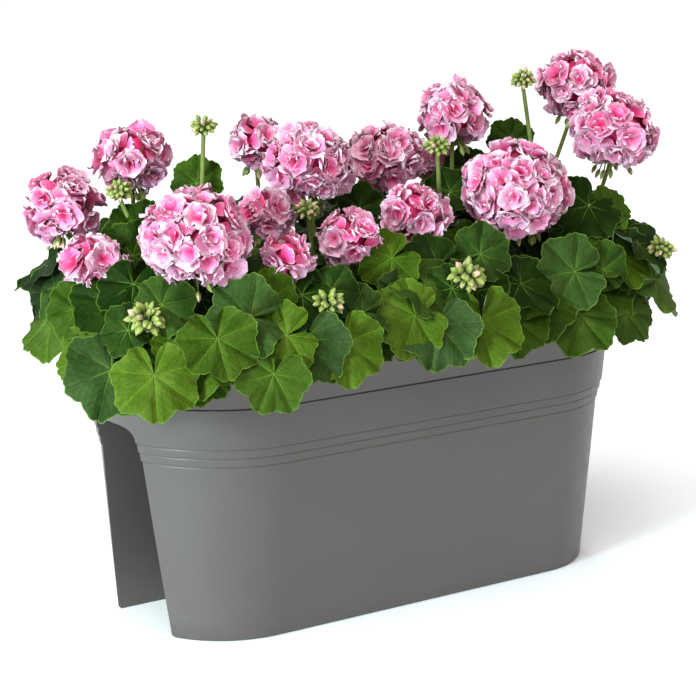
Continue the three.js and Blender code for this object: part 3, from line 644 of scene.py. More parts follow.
def slotted_ring(z, sections, grow):
    """One level of a wall, counter-clockwise from the front edge of the right slot end."""
    half_x, half_y, corner = section_at(sections, z)
    slot = slot_half(z, grow)
    end = quarter(half_x, half_y, corner, slot, RING["end"])
    gap_y = np.linspace(-slot, slot, RING["gap"] + 1)[:-1]
    gap = np.array([(end_x(y, half_x, half_y, corner), y) for y in gap_y])
    side_x = np.linspace(end[-1, 0], -end[-1, 0], RING["straight"] + 1)[1:-1]
    side = np.stack([side_x, np.full(len(side_x), half_y)], 1)
    back = np.concatenate([end, side, (end * [-1, 1])[::-1][:-1]])
    half = np.concatenate([gap, back])
    ring = np.concatenate([half, -half])
    return np.column_stack([ring, np.full(len(ring), float(z))])


def wall_levels(sections, grow, low, high):
    rise = SLOT["ceiling"] + grow - SLOT["shoulder"]
    crown = [SLOT["shoulder"] + rise * math.sin(math.radians(SLOT["last_turn"]) * i / SLOT["steps"])
             for i in range(SLOT["steps"] + 1)]
    crown.append(SLOT["shoulder"] + rise)
    levels = sorted({float(z) for z in [s[0] for s in sections] + crown + list(WALL_LEVELS)})
    kept = []
    for z in levels:
        if low <= z <= high and (not kept or z - kept[-1] > 0.05):
            kept.append(z)
    return kept


def ceiling_row(rings, grow):
    """Which ring of a slotted shell lies at the slot's ceiling."""
    return int(np.argmin(abs(rings[:, 0, 2] - SLOT["ceiling"] - grow)))


def slotted_body(sections, grow, low, high):
    """Rings of a slotted shell, and the faces of its wall, slot and ceiling, facing out."""
    rings = np.array([slotted_ring(z, sections, grow)
                      for z in wall_levels(sections, grow, low, high)])
    rows, count, _ = rings.shape
    half, gap = count // 2, RING["gap"]
    top_row = ceiling_row(rings, grow)
    quads = []
    for row in range(rows - 1):
        wall = band(row * count, (row + 1) * count, count)
        quads += [quad for c, quad in enumerate(wall) if row >= top_row or c % half >= gap]
    for row in range(top_row):
        a, b = row * count, (row + 1) * count
        for right, left in ((0, half + gap), (half, gap)):
            quads.append((a + right, a + left, b + left, b + right))
    for c in range(gap):
        a = top_row * count
        quads.append((a + c + 1, a + c, a + (half + gap - c) % count, a + half + gap - c - 1))
    return rings, quads


def leg_outlines(count):
    """Each leg's points in a ring, the front leg first, from one end of the slot to the other."""
    half, gap = count // 2, RING["gap"]
    return [[(start + k) % count for k in range(half - gap + 1)] for start in (half + gap, gap)]


def drain_circles(z):
    turn = TAU * np.arange(DRAIN["sides"]) / DRAIN["sides"]
    return [np.column_stack([x + DRAIN["radius"] * np.cos(turn), y + DRAIN["radius"] * np.sin(turn),
                             np.full(len(turn), float(z))])
            for y in (-DRAIN["y"], DRAIN["y"]) for x in (-DRAIN["x"], DRAIN["x"])]


def between_loops(points, outline, hole):
    """Triangles between a convex outline and a round hole inside it, both counter-clockwise."""
    sides = len(hole)
    farthest = []
    for j in range(sides):
        step = points[hole[(j + 1) % sides]] - points[hole[j]]
        reach = [points[k][0] * step[1] - points[k][1] * step[0] for k in outline]
        farthest.append(int(np.argmax(reach)))
    faces = []
    for j in range(sides):
        following = hole[(j + 1) % sides]
        k = farthest[j]
        faces.append((hole[j], outline[k], following))
        while k != farthest[(j + 1) % sides]:
            after = (k + 1) % len(outline)
            faces.append((following, outline[k], outline[after]))
            k = after
    return faces


def leg_floor(points, outline, holes):
    """One leg's floor: a triangle on the slot's side, and a part round each drain hole."""
    middle = len(outline) // 2
    faces = [(outline[0], outline[middle], outline[-1])]
    for part, hole in zip((outline[:middle + 1], outline[middle:]), holes):
        faces += between_loops(points, part, hole)
    return faces


def turned(faces, points, up):
    """The same faces, each wound so that it faces up (or down)."""
    fixed = []
    for face in faces:
        a, b, c = (points[k] for k in face[:3])
        facing = np.cross(b - a, c - a)[2]
        fixed.append(face if (facing > 0) == up else tuple(reversed(face)))
    return fixed


def planter_shell():
    top = OUTER[-1][0]
    outside, quads = slotted_body(OUTER, 0, 0, top)
    inside, in_quads = slotted_body(INNER, WALL, WALL, top)
    rows, count, _ = outside.shape
    first_in = rows * count
    base = first_in + inside.shape[0] * count
    quads += [tuple(first_in + k for k in reversed(quad)) for quad in in_quads]
    quads += band(first_in - count, base - count, count)
    low, high = drain_circles(0), drain_circles(WALL)
    points = np.concatenate([outside.reshape(-1, 3), inside.reshape(-1, 3), *low, *high])
    sides = DRAIN["sides"]
    low_ids = [list(range(base + k * sides, base + (k + 1) * sides)) for k in range(len(low))]
    high_ids = [[i + len(low) * sides for i in group] for group in low_ids]
    triangles = []
    for outline, holes in zip(leg_outlines(count), ((0, 1), (3, 2))):
        for first, ids, up in ((0, low_ids, False), (first_in, high_ids, True)):
            found = leg_floor(points, [first + k for k in outline], [ids[h] for h in holes])
            triangles += turned(found, points, up)
    for below, above in zip(low_ids, high_ids):
        quads += band(above[0], below[0], sides)
    pile = Pile()
    pile.add(points, [(quads, 0), (triangles, 0)])
    piece = pile.make("planter_shell", [plastic_material()])
    soften(piece, rounded_edges(outside))
    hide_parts("planter_box")
    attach(piece, "root")


def rounded_edges(rings):
    """Pairs of points along the shell's slot and ceiling edges."""
    count = rings.shape[1]
    half, gap = count // 2, RING["gap"]
    top_row = ceiling_row(rings, 0)
    pairs = [(row * count + c, (row + 1) * count + c)
             for row in range(top_row) for c in (0, gap, half, half + gap)]
    for start in (0, half):
        first = top_row * count + start
        pairs += [(first + c, first + c + 1) for c in range(gap)]
    return pairs


def soften(piece, pairs):
    """Rounds the named edges with a small bevel."""
    mesh = piece.data
    ends = np.empty(len(mesh.edges) * 2, int)
    mesh.edges.foreach_get("vertices", ends)
    wanted = {tuple(sorted(pair)) for pair in pairs}
    weights = [float(tuple(sorted(pair)) in wanted) for pair in ends.reshape(-1, 2).tolist()]
    mesh.attributes.new("bevel_weight_edge", "FLOAT", "EDGE").data.foreach_set("value", weights)
    bevel = piece.modifiers.new("rounded edges", "BEVEL")
    bevel.width = EDGE_ROUND * MM
    bevel.segments = 2
    bevel.limit_method = "WEIGHT"
    bevel.use_clamp_overlap = False


def soil_height(x, y):
    return SOIL["top"] + SOIL["lump"] * (0.5 * math.sin(x * 0.083 + y * 0.05)
                                         + 0.3 * math.sin(y * 0.13 - x * 0.031)
                                         + 0.2 * math.cos(x * 0.19 + y * 0.17))


def crumb_height(x, y):
    rough = noise.fractal(Vector((x * 0.09, y * 0.09, 3.1)), 1.0, 2.0, 4)
    return soil_height(x, y) + SOIL["rough"] * rough


def potting_soil():
    sections = [(z, x - SOIL["gap"], y - SOIL["gap"], c - SOIL["gap"]) for z, x, y, c in INNER]
    grow = WALL + SOIL["gap"]
    rings, quads = slotted_body(sections, grow, SOIL["foot"], SOIL["wall_top"])
    rows, count, _ = rings.shape
    points = [rings.reshape(-1, 3)]
    triangles = []
    for outline in leg_outlines(count):
        fan = [(outline[0], *pair) for pair in zip(outline[1:], outline[2:])]
        triangles += turned(fan, rings[0], False)
    rim = slotted_ring(SOIL["top"], sections, grow)
    total = rows * count
    for k in range(SOIL["rings"]):
        share = 1 - k / SOIL["rings"]
        level = rim * [share, share, 1]
        level[:, 2] = [crumb_height(x, y) for x, y, _ in level]
        points.append(level)
        quads += band(total - count, total, count)
        total += count
    points.append(np.array([[0, 0, crumb_height(0, 0)]]))
    last = total - count
    triangles += [(last + c, last + (c + 1) % count, total) for c in range(count)]
    pile = Pile()
    pile.add(np.concatenate(points), [(quads, 0), (triangles, 0)])
    scatter_crumbs(pile)
    piece = pile.make("soil_fill", [soil_material()])
    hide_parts("potting_soil")
    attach(piece, "root")


def scatter_crumbs(pile):
    """Loose lumps and bits of bark, half sunk in the soil's surface."""
    phi = (1 + 5 ** 0.5) / 2
    corners = np.array([(a, b, 0) for a in (-1, 1) for b in (-phi, phi)], float)
    shape = np.concatenate([corners, np.roll(corners, 1, axis=1), np.roll(corners, 2, axis=1)])
    shape /= np.linalg.norm(shape[0])
    faces = [(i, j, k) for i in range(12) for j in range(i + 1, 12) for k in range(j + 1, 12)
             if max(np.linalg.norm(shape[a] - shape[b]) for a, b in ((i, j), (j, k), (i, k))) < 1.1]
    faces = [f if np.dot(np.cross(shape[f[1]] - shape[f[0]], shape[f[2]] - shape[f[0]]),
                         shape[f[0]]) > 0 else f[::-1] for f in faces]
    for i in range(SOIL["crumbs"]):
        x = CRUMB["half"][0] * (2 * vary(i, 41) - 1)
        y = CRUMB["half"][1] * (2 * vary(i, 42) - 1)
        half_x, half_y, corner = section_at(INNER, SOIL["top"])
        aside = math.hypot(max(0, abs(x) - (half_x - corner)), max(0, abs(y) - (half_y - corner)))
        if aside > corner - CRUMB["inset"]:
            continue
        size = CRUMB["least"] + CRUMB["more"] * vary(i, 43) ** 2
        stretch = np.array([1 + CRUMB["stretch"] * vary(i, 44), 1, CRUMB["flat"]])
        lump = shape * (0.8 + 0.4 * np.array([[vary(i * 13 + k, 45)] for k in range(12)]))
        spin = TAU * vary(i, 46)
        turn = np.array([[math.cos(spin), -math.sin(spin), 0], [math.sin(spin), math.cos(spin), 0],
                         [0, 0, 1]])
        place = [x, y, crumb_height(x, y) + size * CRUMB["raise"]]
        pile.add((lump * stretch * size) @ turn.T + place, [(faces, 0)])


# ------------------------------------------------------------------ where leaves go


def plant_place(plant):
    x = PLANT_PITCH * (plant - (PLANTS - 1) / 2)
    return x, STEM["root_y"] * (1 if plant % 2 else -1)


def rounded_ring(half, corner, steps=5):
    ring = []
    for quarter_turn in range(4):
        sign_x = 1 if quarter_turn in (0, 3) else -1
        sign_y = 1 if quarter_turn < 2 else -1
        for i in range(steps + 1):
            angle = (quarter_turn + i / steps) * math.pi / 2
            ring.append((sign_x * (half[0] - corner) + corner * math.cos(angle),
                         sign_y * (half[1] - corner) + corner * math.sin(angle)))
    return np.array(ring)


def along_row(row, fraction):
    ring = rounded_ring(row["half"], row["corner"])
    steps = np.roll(ring, -1, axis=0) - ring
    lengths = np.linalg.norm(steps, axis=1)
    left = fraction * lengths.sum()
    i = 0
    while left > lengths[i]:
        left -= lengths[i]
        i += 1
    place = ring[i] + steps[i] * left / lengths[i]
    outward = np.array([steps[i][1], -steps[i][0]]) / lengths[i]
    return place, outward


def clear_of_blooms(centre, normal, radius):
    moved = centre.copy()
    for _, _, place, bloom_radius in BLOOMS:
        away = np.array(place, float) - moved
        flat = away - normal * away.dot(normal)
        reach = min(np.linalg.norm(flat), radius)
        nearest = moved + unit(flat) * reach
        gap = np.linalg.norm(nearest - place)
        wanted = bloom_radius + LEAF["bloom_gap"]
        if gap < wanted:
            moved = moved + unit(np.array(place, float) - nearest) * (gap - wanted)
    return moved


def turned_about(vector, axis, angle):
    return (vector * math.cos(angle) + np.cross(axis, vector) * math.sin(angle)
            + axis * axis.dot(vector) * (1 - math.cos(angle)))


def row_leaves(rows, first, in_cells):
    """Leaves of the given rows. With in_cells each keeps inside its own plant's cell."""
    leaves = []
    index = first
    for level, row in enumerate(rows):
        length = 4 * sum(row["half"]) - (8 - TAU) * row["corner"]
        count = round(length / row["pitch"])
        for k in range(count):
            shift = 0.5 * (level % 2) + LEAF_VARIETY["shift"] * (vary(index, 1) - 0.5)
            place, outward = along_row(row, ((k + shift + 1) % count) / count)
            radius = row["radius"] * (LEAF_VARIETY["small"] + LEAF_VARIETY["size"] * vary(index, 2))
            plant = math.floor((place[0] - row["border"]) / PLANT_PITCH + (PLANTS - 1) / 2 + 0.5)
            plant = min(PLANTS - 1, max(0, plant))
            cell = PLANT_PITCH * (plant - (PLANTS - 1) / 2) + row["border"]
            room = PLANT_PITCH / 2 - radius - LEAF["cell_gap"]
            out = np.array([outward[0], outward[1], 0.0])
            lean = LEAF_VARIETY["lean"] * (vary(index, 3) - 0.5)
            normal = unit(out * (row["down"] + lean) + UP * (row["out"] - lean))
            turn = LEAF_VARIETY["turn"] * (vary(index, 4) - 0.5)
            tip = out * row["out"] - UP * row["down"]
            tip = turned_about(unit(tip - normal * tip.dot(normal)), normal, turn)
            height = row["z"] + LEAF_VARIETY["height"] * (vary(index, 5) - 0.5)
            start = np.array([place[0], place[1], height])
            start = start + normal * (LEAF["lift"] if k % 2 else -LEAF["lift"])
            centre = clear_of_blooms(start, normal, radius)
            hidden = np.linalg.norm(centre - start) > LEAF["hidden_shift"]
            if in_cells:
                if plant > 0:
                    centre[0] = max(centre[0], cell - room)
                if plant < PLANTS - 1:
                    centre[0] = min(centre[0], cell + room)
                along_tip, along_normal = BENT_CLEAR.get(index, (0, 0))
                centre = centre + tip * along_tip + normal * along_normal
                if abs(centre[0]) > LEAF["end_from"]:
                    centre[0] -= math.copysign(LEAF["end_tuck"], centre[0])
            if not hidden:
                tone = ROW_TONES[level] if in_cells else SHADED_DEEP_TONE
                # A leaf's greyness is a painted grey sheen, given to some leaves at random.
                leaves.append(dict(index=index, plant=plant, centre=centre, tip=tip,
                                   normal=normal, radius=radius, near=in_cells,
                                   tone=tone + 0.6 * (vary(index, 31) - 0.5),
                                   grey_sheen=max(0.0, 1.6 * vary(index, 32) - 0.9)))
            index += 1
    return leaves


def front_leaves(first):
    """The listed leaves that hang over the front and stand between the heads."""
    leaves = []
    for k, (plant, place, azimuth, elevation, turn, radius, tone, grey_sheen) in enumerate(FRONT_LEAVES):
        normal = np.array(direction(azimuth, elevation))
        down = unit(normal * normal[2] - UP)
        tip = turned_about(down, normal, math.radians(turn))
        leaves.append(dict(index=first + k, plant=plant, centre=np.array(place, float), tip=tip,
                           normal=normal, radius=radius * FRONT_SIZE, tone=tone, grey_sheen=grey_sheen,
                           near=True))
    return leaves


def stalk_way(leaf):
    x, _ = plant_place(leaf["plant"])
    climb = vary(leaf["index"], 8)
    side = 1 if leaf["centre"][1] > 0 else -1
    root = np.array([
        x, side * STEM["arm_y"] * (STALK["near"] + STALK["spread"] * climb),
        STEM["neck_z"] + STALK["low"] + (STEM["head_z"] - STEM["neck_z"] - STALK["below"]) * climb])
    bend = root + (leaf["centre"] - root) * STALK["bend_at"]
    bend[2] = min(bend[2], leaf["centre"][2] - STALK["clear"]) - STALK["sag"]
    return bend, root


# ------------------------------------------------------------------ leaves


def leaf_reach(angle):
    """Outline of a blade as a share of its radius: round, seven lobes, scalloped edge."""
    notch = np.abs(angle) / math.pi
    cut = np.abs(np.sin(LEAF["lobes"] * angle / 2)) ** 3
    body = (1 - LEAF["taper"] * notch ** 3) * (1 + LEAF["lobe"] * (1 - 2 * cut))
    scallop = np.abs(np.sin(BLADE["teeth"] * angle / 2)) ** 0.7
    corner = 1 - 0.4 * np.exp(-(math.pi - BLADE["sinus"] - np.abs(angle)) / 0.1)
    return body * (1 + BLADE["tooth"] * (scallop - 0.6)) * corner


def leaf_rise(leaf, a, s):
    """How far each point of a blade stands off its plane, by angle and share of the reach."""
    index, radius = leaf["index"], leaf["radius"]
    cup = LEAF["cup"] * (LEAF["flat_cup"] + vary(index, 6))
    rise = s * s * (cup + LEAF["wave"] * np.sin(LEAF["waves"] * a + 6 * vary(index, 7)))
    # a crease along each main vein, with the blade swelling between them
    between = np.abs(np.sin(LEAF["lobes"] * a / 2))
    rise += BLADE["fold"] * s ** 1.15 * (between ** 0.8 - 0.6) * (0.6 + 0.6 * vary(index, 24))
    # two slow swells round the margin, then fine ruffles
    rise += BLADE["swell"] * s ** 2 * np.sin(2 * a + TAU * vary(index, 25))
    ripple = np.sin(11 * a + 9 * vary(index, 21)) + 0.6 * np.sin(17 * a + 9 * vary(index, 22))
    rise += BLADE["ruffle"] * s ** 4 * ripple
    # the blade hangs towards its tip, and one side curls up
    droop = BLADE["droop"] * (0.2 + 1.4 * vary(index, 23))
    rise -= droop * ((s * np.cos(a)) ** 2 + 0.5 * (s * np.sin(a)) ** 2)
    side = 2.4 * (vary(index, 26) - 0.5)
    rise += BLADE["curl"] * vary(index, 27) * s ** 3 * np.exp(-((a - 2 * side) / 0.55) ** 2)
    return rise * radius


def add_leaf(pile, leaf):
    """One blade as a thin closed body, its upper and under faces in two materials."""
    cells, rings = NEAR_BLADE if leaf["near"] else DEEP_BLADE
    limit = math.pi - BLADE["sinus"]
    angle = np.linspace(limit, -limit, cells + 1)
    a, s = np.meshgrid(angle, np.array(rings))
    flat = leaf["radius"] * leaf_reach(a) * s
    rise = leaf_rise(leaf, a, s)
    top = np.stack([flat * np.sin(a), flat * np.cos(a), rise], 2)
    thick = BLADE["thickness"] * (1 - s ** 6) * np.where(np.abs(a) > limit - 1e-6, 0, 1)
    under = top - np.stack([0 * thick, 0 * thick, thick], 2)
    rows, columns = a.shape
    inner = slice(0, rows - 1), slice(1, columns - 1)
    apex = np.zeros((1, 3))
    points = np.concatenate([apex, top.reshape(-1, 3), under[inner].reshape(-1, 3)])
    top_id = 1 + np.arange(rows * columns).reshape(rows, columns)
    under_id = top_id.copy()
    under_id[inner] = 1 + rows * columns + np.arange((rows - 1) * (columns - 2)).reshape(
        rows - 1, columns - 2)

    def sheet(ids):
        quads = np.stack([ids[:-1, :-1], ids[:-1, 1:], ids[1:, 1:], ids[1:, :-1]], 2).reshape(-1, 4)
        fan = np.stack([np.zeros(columns - 1, int), ids[0, 1:], ids[0, :-1]], 1)
        return quads, fan

    top_quads, top_fan = sheet(top_id)
    low_quads, low_fan = sheet(under_id)
    side = np.cross(leaf["tip"], leaf["normal"])
    world = points @ np.stack([side, leaf["tip"], leaf["normal"]]) + leaf["centre"]

    def gather(grid):
        return np.concatenate([[0], grid.ravel(), grid[inner].ravel()])

    pile.add(
        world, [(top_quads[:, ::-1], 0), (top_fan[:, ::-1], 0), (low_quads, 1), (low_fan, 1)],
        leaf_angle=gather(a), leaf_reach=gather(flat), leaf_share=gather(s),
        leaf_tone=leaf["tone"], leaf_grey=leaf["grey_sheen"])


# ------------------------------------------------------------------ flower heads


def spiral_direction(i, count, spread):
    rise = 1 - spread * (i + 0.5) / count * 2
    angle = i * math.pi * (3 - math.sqrt(5))
    flat = math.sqrt(1 - rise * rise)
    return np.array([flat * math.cos(angle), flat * math.sin(angle), rise])


def petal_template():
    """Places across and along a petal, and the faces of its two sides."""
    across, along = PETAL_GRID
    u, v = np.meshgrid(np.linspace(-1, 1, across), np.linspace(0, 1, along))
    ids = np.arange(across * along).reshape(along, across)
    under = ids.copy()
    under[1:-1, 1:-1] = across * along + np.arange((across - 2) * (along - 2)).reshape(
        along - 2, across - 2)
    quads = grid_faces(along, across)
    low = under.ravel()[quads][:, ::-1]
    return u, v, np.concatenate([quads, low])


PETAL_U, PETAL_V, PETAL_FACES = petal_template()


def petal_half(v):
    """Half width along a petal, as a share of its widest: a narrow foot and a round tip."""
    widest = PETAL["widest"]
    rising = PETAL["foot"] + (1 - PETAL["foot"]) * np.sin(np.minimum(v / widest, 1) * math.pi / 2)
    past = np.maximum(v - widest, 0) / (1 - widest)
    return rising - PETAL["tip"] * past * past


def add_petal(pile, base, out, aside, length, width, lean, curl, seed, **values):
    """A ruffled petal that leaves base along out, leaning towards aside."""
    u, v = PETAL_U, PETAL_V
    theta = lean + curl * v
    step = length / (PETAL_GRID[1] - 1)
    first = np.zeros((1, u.shape[1]))
    short = 1 - PETAL["short"] * u * u * v - 0.1 * vary(seed, 3) * np.exp(-(u / 0.25) ** 2) * v ** 3
    radial = np.concatenate([first, np.cumsum(np.sin(theta[1:]) * step, 0)]) * short
    axial = np.concatenate([first, np.cumsum(np.cos(theta[1:]) * step, 0)]) * short
    half = 0.5 * width * petal_half(v)
    waves = math.pi * (1.3 + 1.2 * vary(seed, 4))
    frill = np.sin(waves * u + TAU * vary(seed, 5)) + 0.6 * np.sin(6.3 * u + 5.2 * v
                                                                   + TAU * vary(seed, 6))
    cup = (PETAL["cup"] + PETAL["cups"] * vary(seed, 7)) * half * u * u
    lift = PETAL["frill"] * length * v ** 1.5 * frill + cup
    normal_r, normal_a = -np.cos(theta), np.sin(theta)
    sideways = np.cross(out, aside)
    points = (base + (radial + normal_r * lift)[..., None] * aside
              + (axial + normal_a * lift)[..., None] * out + (u * half)[..., None] * sideways)
    under = points - PETAL["thin"] * (normal_r[..., None] * aside + normal_a[..., None] * out)
    both = np.concatenate([points.reshape(-1, 3), under[1:-1, 1:-1].reshape(-1, 3)])

    def pick(grid):
        return np.concatenate([grid.ravel(), grid[1:-1, 1:-1].ravel()])

    rim = np.minimum((1 - np.abs(u)) * half, (1 - v) * length)
    pile.add(both, [(PETAL_FACES, 0)], petal_u=pick(u), petal_v=pick(v), petal_rim=pick(rim),
             **values)


def cross_axes(out):
    side = unit(np.cross([0.31, 1.0, 0.17], out))
    return side, np.cross(out, side)


def add_floret(pile, base, out, radius, seed):
    side, other = cross_axes(out)
    start = TAU * vary(seed, 12)
    tone = 0.2 + 0.6 * vary(seed, 13)
    # Florets that face down get a lilac tint: painted bluish light from below.
    low = min(1.0, max(0.0, 0.25 - out[2]) * 1.4)
    for layer, (count, length, width, lean, curl, inner) in enumerate(FLORET_LAYERS):
        for k in range(count):
            own = seed * 17 + layer * 5 + k
            angle = start + TAU * (k + 0.5 * layer + 0.7 * (vary(own, 14) - 0.5)) / count
            aside = side * math.cos(angle) + other * math.sin(angle)
            size = radius * (0.84 + 0.32 * vary(own, 15))
            add_petal(pile, base, out, aside, size * length, size * width,
                      lean + 0.6 * (vary(own, 16) - 0.5), curl * (0.4 + 1.2 * vary(own, 17)), own,
                      petal_tone=tone + 0.5 * (vary(own, 18) - 0.5), petal_inner=inner,
                      petal_low=low * (1 - inner))


def add_between(pile, foot, out, radius, seed):
    """A single petal in the space between florets."""
    side, other = cross_axes(out)
    angle = TAU * vary(seed, 19)
    aside = side * math.cos(angle) + other * math.sin(angle)
    # A petal that faces down takes the lilac tint, painted bluish light from below.
    add_petal(pile, foot - aside * radius * 0.35, out, aside, radius * 0.95, radius * 1.15,
              0.35 + 0.7 * vary(seed, 20), 0.7 * vary(seed, 21), seed,
              petal_tone=vary(seed, 22), petal_inner=0.2, petal_low=max(0.0, -out[2]))


def add_core(pile, centre, radius, seed):
    """The ruffled inside of a head, seen only between its florets."""
    polar = np.linspace(CORE["pole"], math.pi - CORE["pole"], CORE["rows"])
    turn = TAU * np.arange(CORE["columns"]) / CORE["columns"]
    p, t = np.meshgrid(polar, turn, indexing="ij")
    bumpy = radius * (1 + CORE["ruffle"] * np.sin(7 * t + 3 * p + seed) * np.sin(6 * p + 2 * t))
    rings = np.stack([bumpy * np.sin(p) * np.cos(t), bumpy * np.sin(p) * np.sin(t),
                      bumpy * np.cos(p)], 2) + centre
    body, quads, caps = loft(rings, centre + [0, 0, radius], centre - [0, 0, radius])
    pile.add(body, [(flipped(quads), 0), (flipped(caps), 0)], petal_v=0.15, petal_inner=0.6,
             petal_tone=0.3, petal_rim=3.0)


def flower_head(order, name, place, radius):
    centre = np.array(place, float)
    size = min(FLORET["radius"], 0.62 * radius)
    reach = radius - min(FLORET["depth"], 0.45 * radius)
    spread = FLORET["spread"]
    count = max(FLORET["least"], round(FLORET["cover"] * 4 * spread * (reach / size) ** 2))
    pile = Pile()
    flat = np.array([1.0, 1.0, FLORET["squash"]])
    add_core(pile, centre, reach * 0.8, order)
    for i in range(count):
        seed = order * 90 + i + 500
        wobble = np.array([vary(seed, channel) - 0.5 for channel in (1, 2, 8)])
        out = unit(spiral_direction(i, count, spread) + 0.3 * wobble)
        foot = centre + out * flat * reach * (0.88 + 0.18 * vary(seed, 10))
        add_floret(pile, foot, unit(out + 0.9 * np.roll(wobble, 1)),
                   size * (0.88 + 0.26 * vary(seed, 9)), seed)
    between = round(count * FLORET["between"])
    for i in range(between):
        out = spiral_direction(i + 0.37, between, spread)
        add_between(pile, centre + out * flat * reach * 0.9, out, size, order * 90 + i + 9000)
    piece = pile.make(f"flower_head_{name}_petals", [MATERIALS["petal"]])
    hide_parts(f"flower_head_{name}")
    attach(piece, "root")


# ------------------------------------------------------------------ buds


def add_bud(pile, base, out, length, width, tone):
    """A pointed bud with four ribs, green at its foot and pale or pink at its tip."""
    side, other = cross_axes(out)
    turn = TAU * np.arange(BUD["sides"]) / BUD["sides"]
    ribbed = 1 + BUD["rib"] * np.cos(BUD["ribs"] * turn)
    rings = []
    for along, wide in BUD_PROFILE:
        reach = 0.5 * width * wide * ribbed
        rings.append(base + out * length * along + reach[:, None] * (
            side * np.cos(turn)[:, None] + other * np.sin(turn)[:, None]))
    body, quads, caps = loft(np.array(rings), base, base + out * length * BUD["tip"])
    along = np.concatenate([np.repeat([p[0] for p in BUD_PROFILE], BUD["sides"]), [0, 1]])
    pile.add(body, [(quads, 1), (caps, 1)], bud_v=along, bud_tone=tone)


def add_bud_cluster(pile, centre, radius, count, seed):
    """Fat buds packed round the top of a stalk, the outer ones hanging."""
    node = centre - UP * radius * 0.5
    for i in range(count):
        own = seed * 50 + i
        out = spiral_direction(i, count, 0.85)
        out = unit(out + 0.35 * np.array([vary(own, 51) - 0.5, vary(own, 52) - 0.5, 0.0]))
        reach = radius * (0.40 + 0.22 * vary(own, 54)) * np.array([1, 1, 0.75])
        foot = centre + out * reach
        add_tube(pile, [node, (node + foot) / 2 + out * 0.6, foot], 0.9, 0.8, 5, 3)
        lean = unit(out - UP * (0.1 + 0.7 * vary(own, 55) ** 2))
        length = radius * (0.44 + 0.14 * vary(own, 53))
        add_bud(pile, foot - lean * 0.6, lean, length, length * (0.58 + 0.12 * vary(own, 56)),
                vary(own, 57))


def add_hanging_buds(pile, place, radius, seed):
    """Young buds that hang close under an open head."""
    centre = np.array(place, float)
    node = centre - UP * radius * 0.6
    for i in range(7 + int(5 * vary(seed, 61))):
        own = seed * 40 + i
        angle = TAU * (i * 0.382 + vary(own, 62) * 0.2)
        flat = np.array([math.cos(angle), math.sin(angle), 0.0])
        knee = node + flat * radius * 0.18 - UP * radius * 0.04
        foot = knee + flat * radius * (0.02 + 0.16 * vary(own, 63)) - UP * radius * (
            0.05 + 0.14 * vary(own, 64))
        add_tube(pile, [node, knee, foot], 0.9, 0.7, 5, 5)
        down = unit(flat * 0.5 - UP)
        add_bud(pile, foot, down, 7.5 + 3 * vary(own, 65), 4.6, vary(own, 66))


# ------------------------------------------------------------------ plants


def seat_drop(radius):
    core, foot = HEAD_SEAT
    return math.sqrt((core * radius) ** 2 - (foot * radius) ** 2)


def add_peduncle(pile, plant, seat):
    x, _ = plant_place(plant)
    side = 1 if seat[1] > 0 else -1
    start = np.array([x, side * STEM["arm_y"] * PEDUNCLE["arm_share"],
                      STEM["head_z"] - PEDUNCLE["below"]])
    seat = np.array(seat, float)
    mid = start + (seat - start) * PEDUNCLE["bend"]
    add_tube(pile, [start, mid, seat], PEDUNCLE["radius"], PEDUNCLE["tip_radius"], 8, 14)


def add_pedicels(pile, place, radius, seed):
    """Thin stalks that fan from the top of the flower stalk to the florets."""
    centre = np.array(place, float)
    node = centre - UP * seat_drop(radius)
    for i in range(PEDICEL["count"]):
        out = spiral_direction(i, PEDICEL["count"], PEDICEL["spread"])
        foot = centre + out * radius * PEDICEL["reach"]
        middle = (node + foot) / 2 + out * radius * PEDICEL["bow"]
        add_tube(pile, [node, middle, foot], PEDICEL["radius"], PEDICEL["tip_radius"], 5, 4)


def leafy_plant(plant, leaves):
    stalks = Pile()
    x, y = plant_place(plant)
    neck = (x, y, STEM["neck_z"])
    add_tube(stalks, [(x, y, STEM["root_z"]), (x + 0.5, y, 235), neck], STEM["radius"],
             STEM["radius"] * 0.96, 12, 8, stalk_wood=1.0)
    for side in (-1, 1):
        head = (x, side * STEM["arm_y"], STEM["head_z"])
        bend = (x, (y + head[1]) / 2, STEM["neck_z"] + STEM["bend_rise"])
        add_tube(stalks, [(x, y, STEM["neck_z"] - STEM["fork_drop"]), bend, head], STEM["radius"],
                 STEM["tip_radius"], 10, 10, stalk_wood=0.6)
    blades = Pile()
    for leaf in leaves:
        if leaf["plant"] != plant:
            continue
        add_leaf(blades, leaf)
        bend, root = stalk_way(leaf)
        top = leaf["centre"] - leaf["normal"] * STALK["drop"]
        add_tube(stalks, [top, bend, root], STALK["radius"], STALK["root_radius"], 7, 9)
    for order, (_, owner, place, radius) in enumerate(BLOOMS):
        if owner == plant:
            add_peduncle(stalks, plant, (place[0], place[1], place[2] - seat_drop(radius)))
            add_pedicels(stalks, place, radius, order)
            add_hanging_buds(stalks, place, radius, order)
    for seed, (owner, place, radius, count) in enumerate(BUD_CLUSTERS):
        if owner == plant:
            add_peduncle(stalks, plant, (place[0], place[1], place[2] - radius * 0.5))
            add_bud_cluster(stalks, np.array(place, float), radius, count, seed)
    name = f"geranium_{plant + 1}"
    leafage = blades.make(f"{name}_leaves", [MATERIALS["leaf"], MATERIALS["under"]])
    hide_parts(name)
    stalked = stalks.make(f"{name}_stalks", [MATERIALS["stalk"], MATERIALS["bud"]])
    for piece in (leafage, stalked):
        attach(piece, "root")


# ------------------------------------------------------------------ stage, light and camera

CAMERA = dict(target=(-11.44, 0, 227.64), azimuth=-35.22, elevation=12.49, distance=2125.4,
              lens=116.39, sensor=36)
# World strength, half size of the floor and the point that the lights face, in metres.
STUDIO = dict(world=0.55, floor_half=40, aim=(0, 0, 0.25))
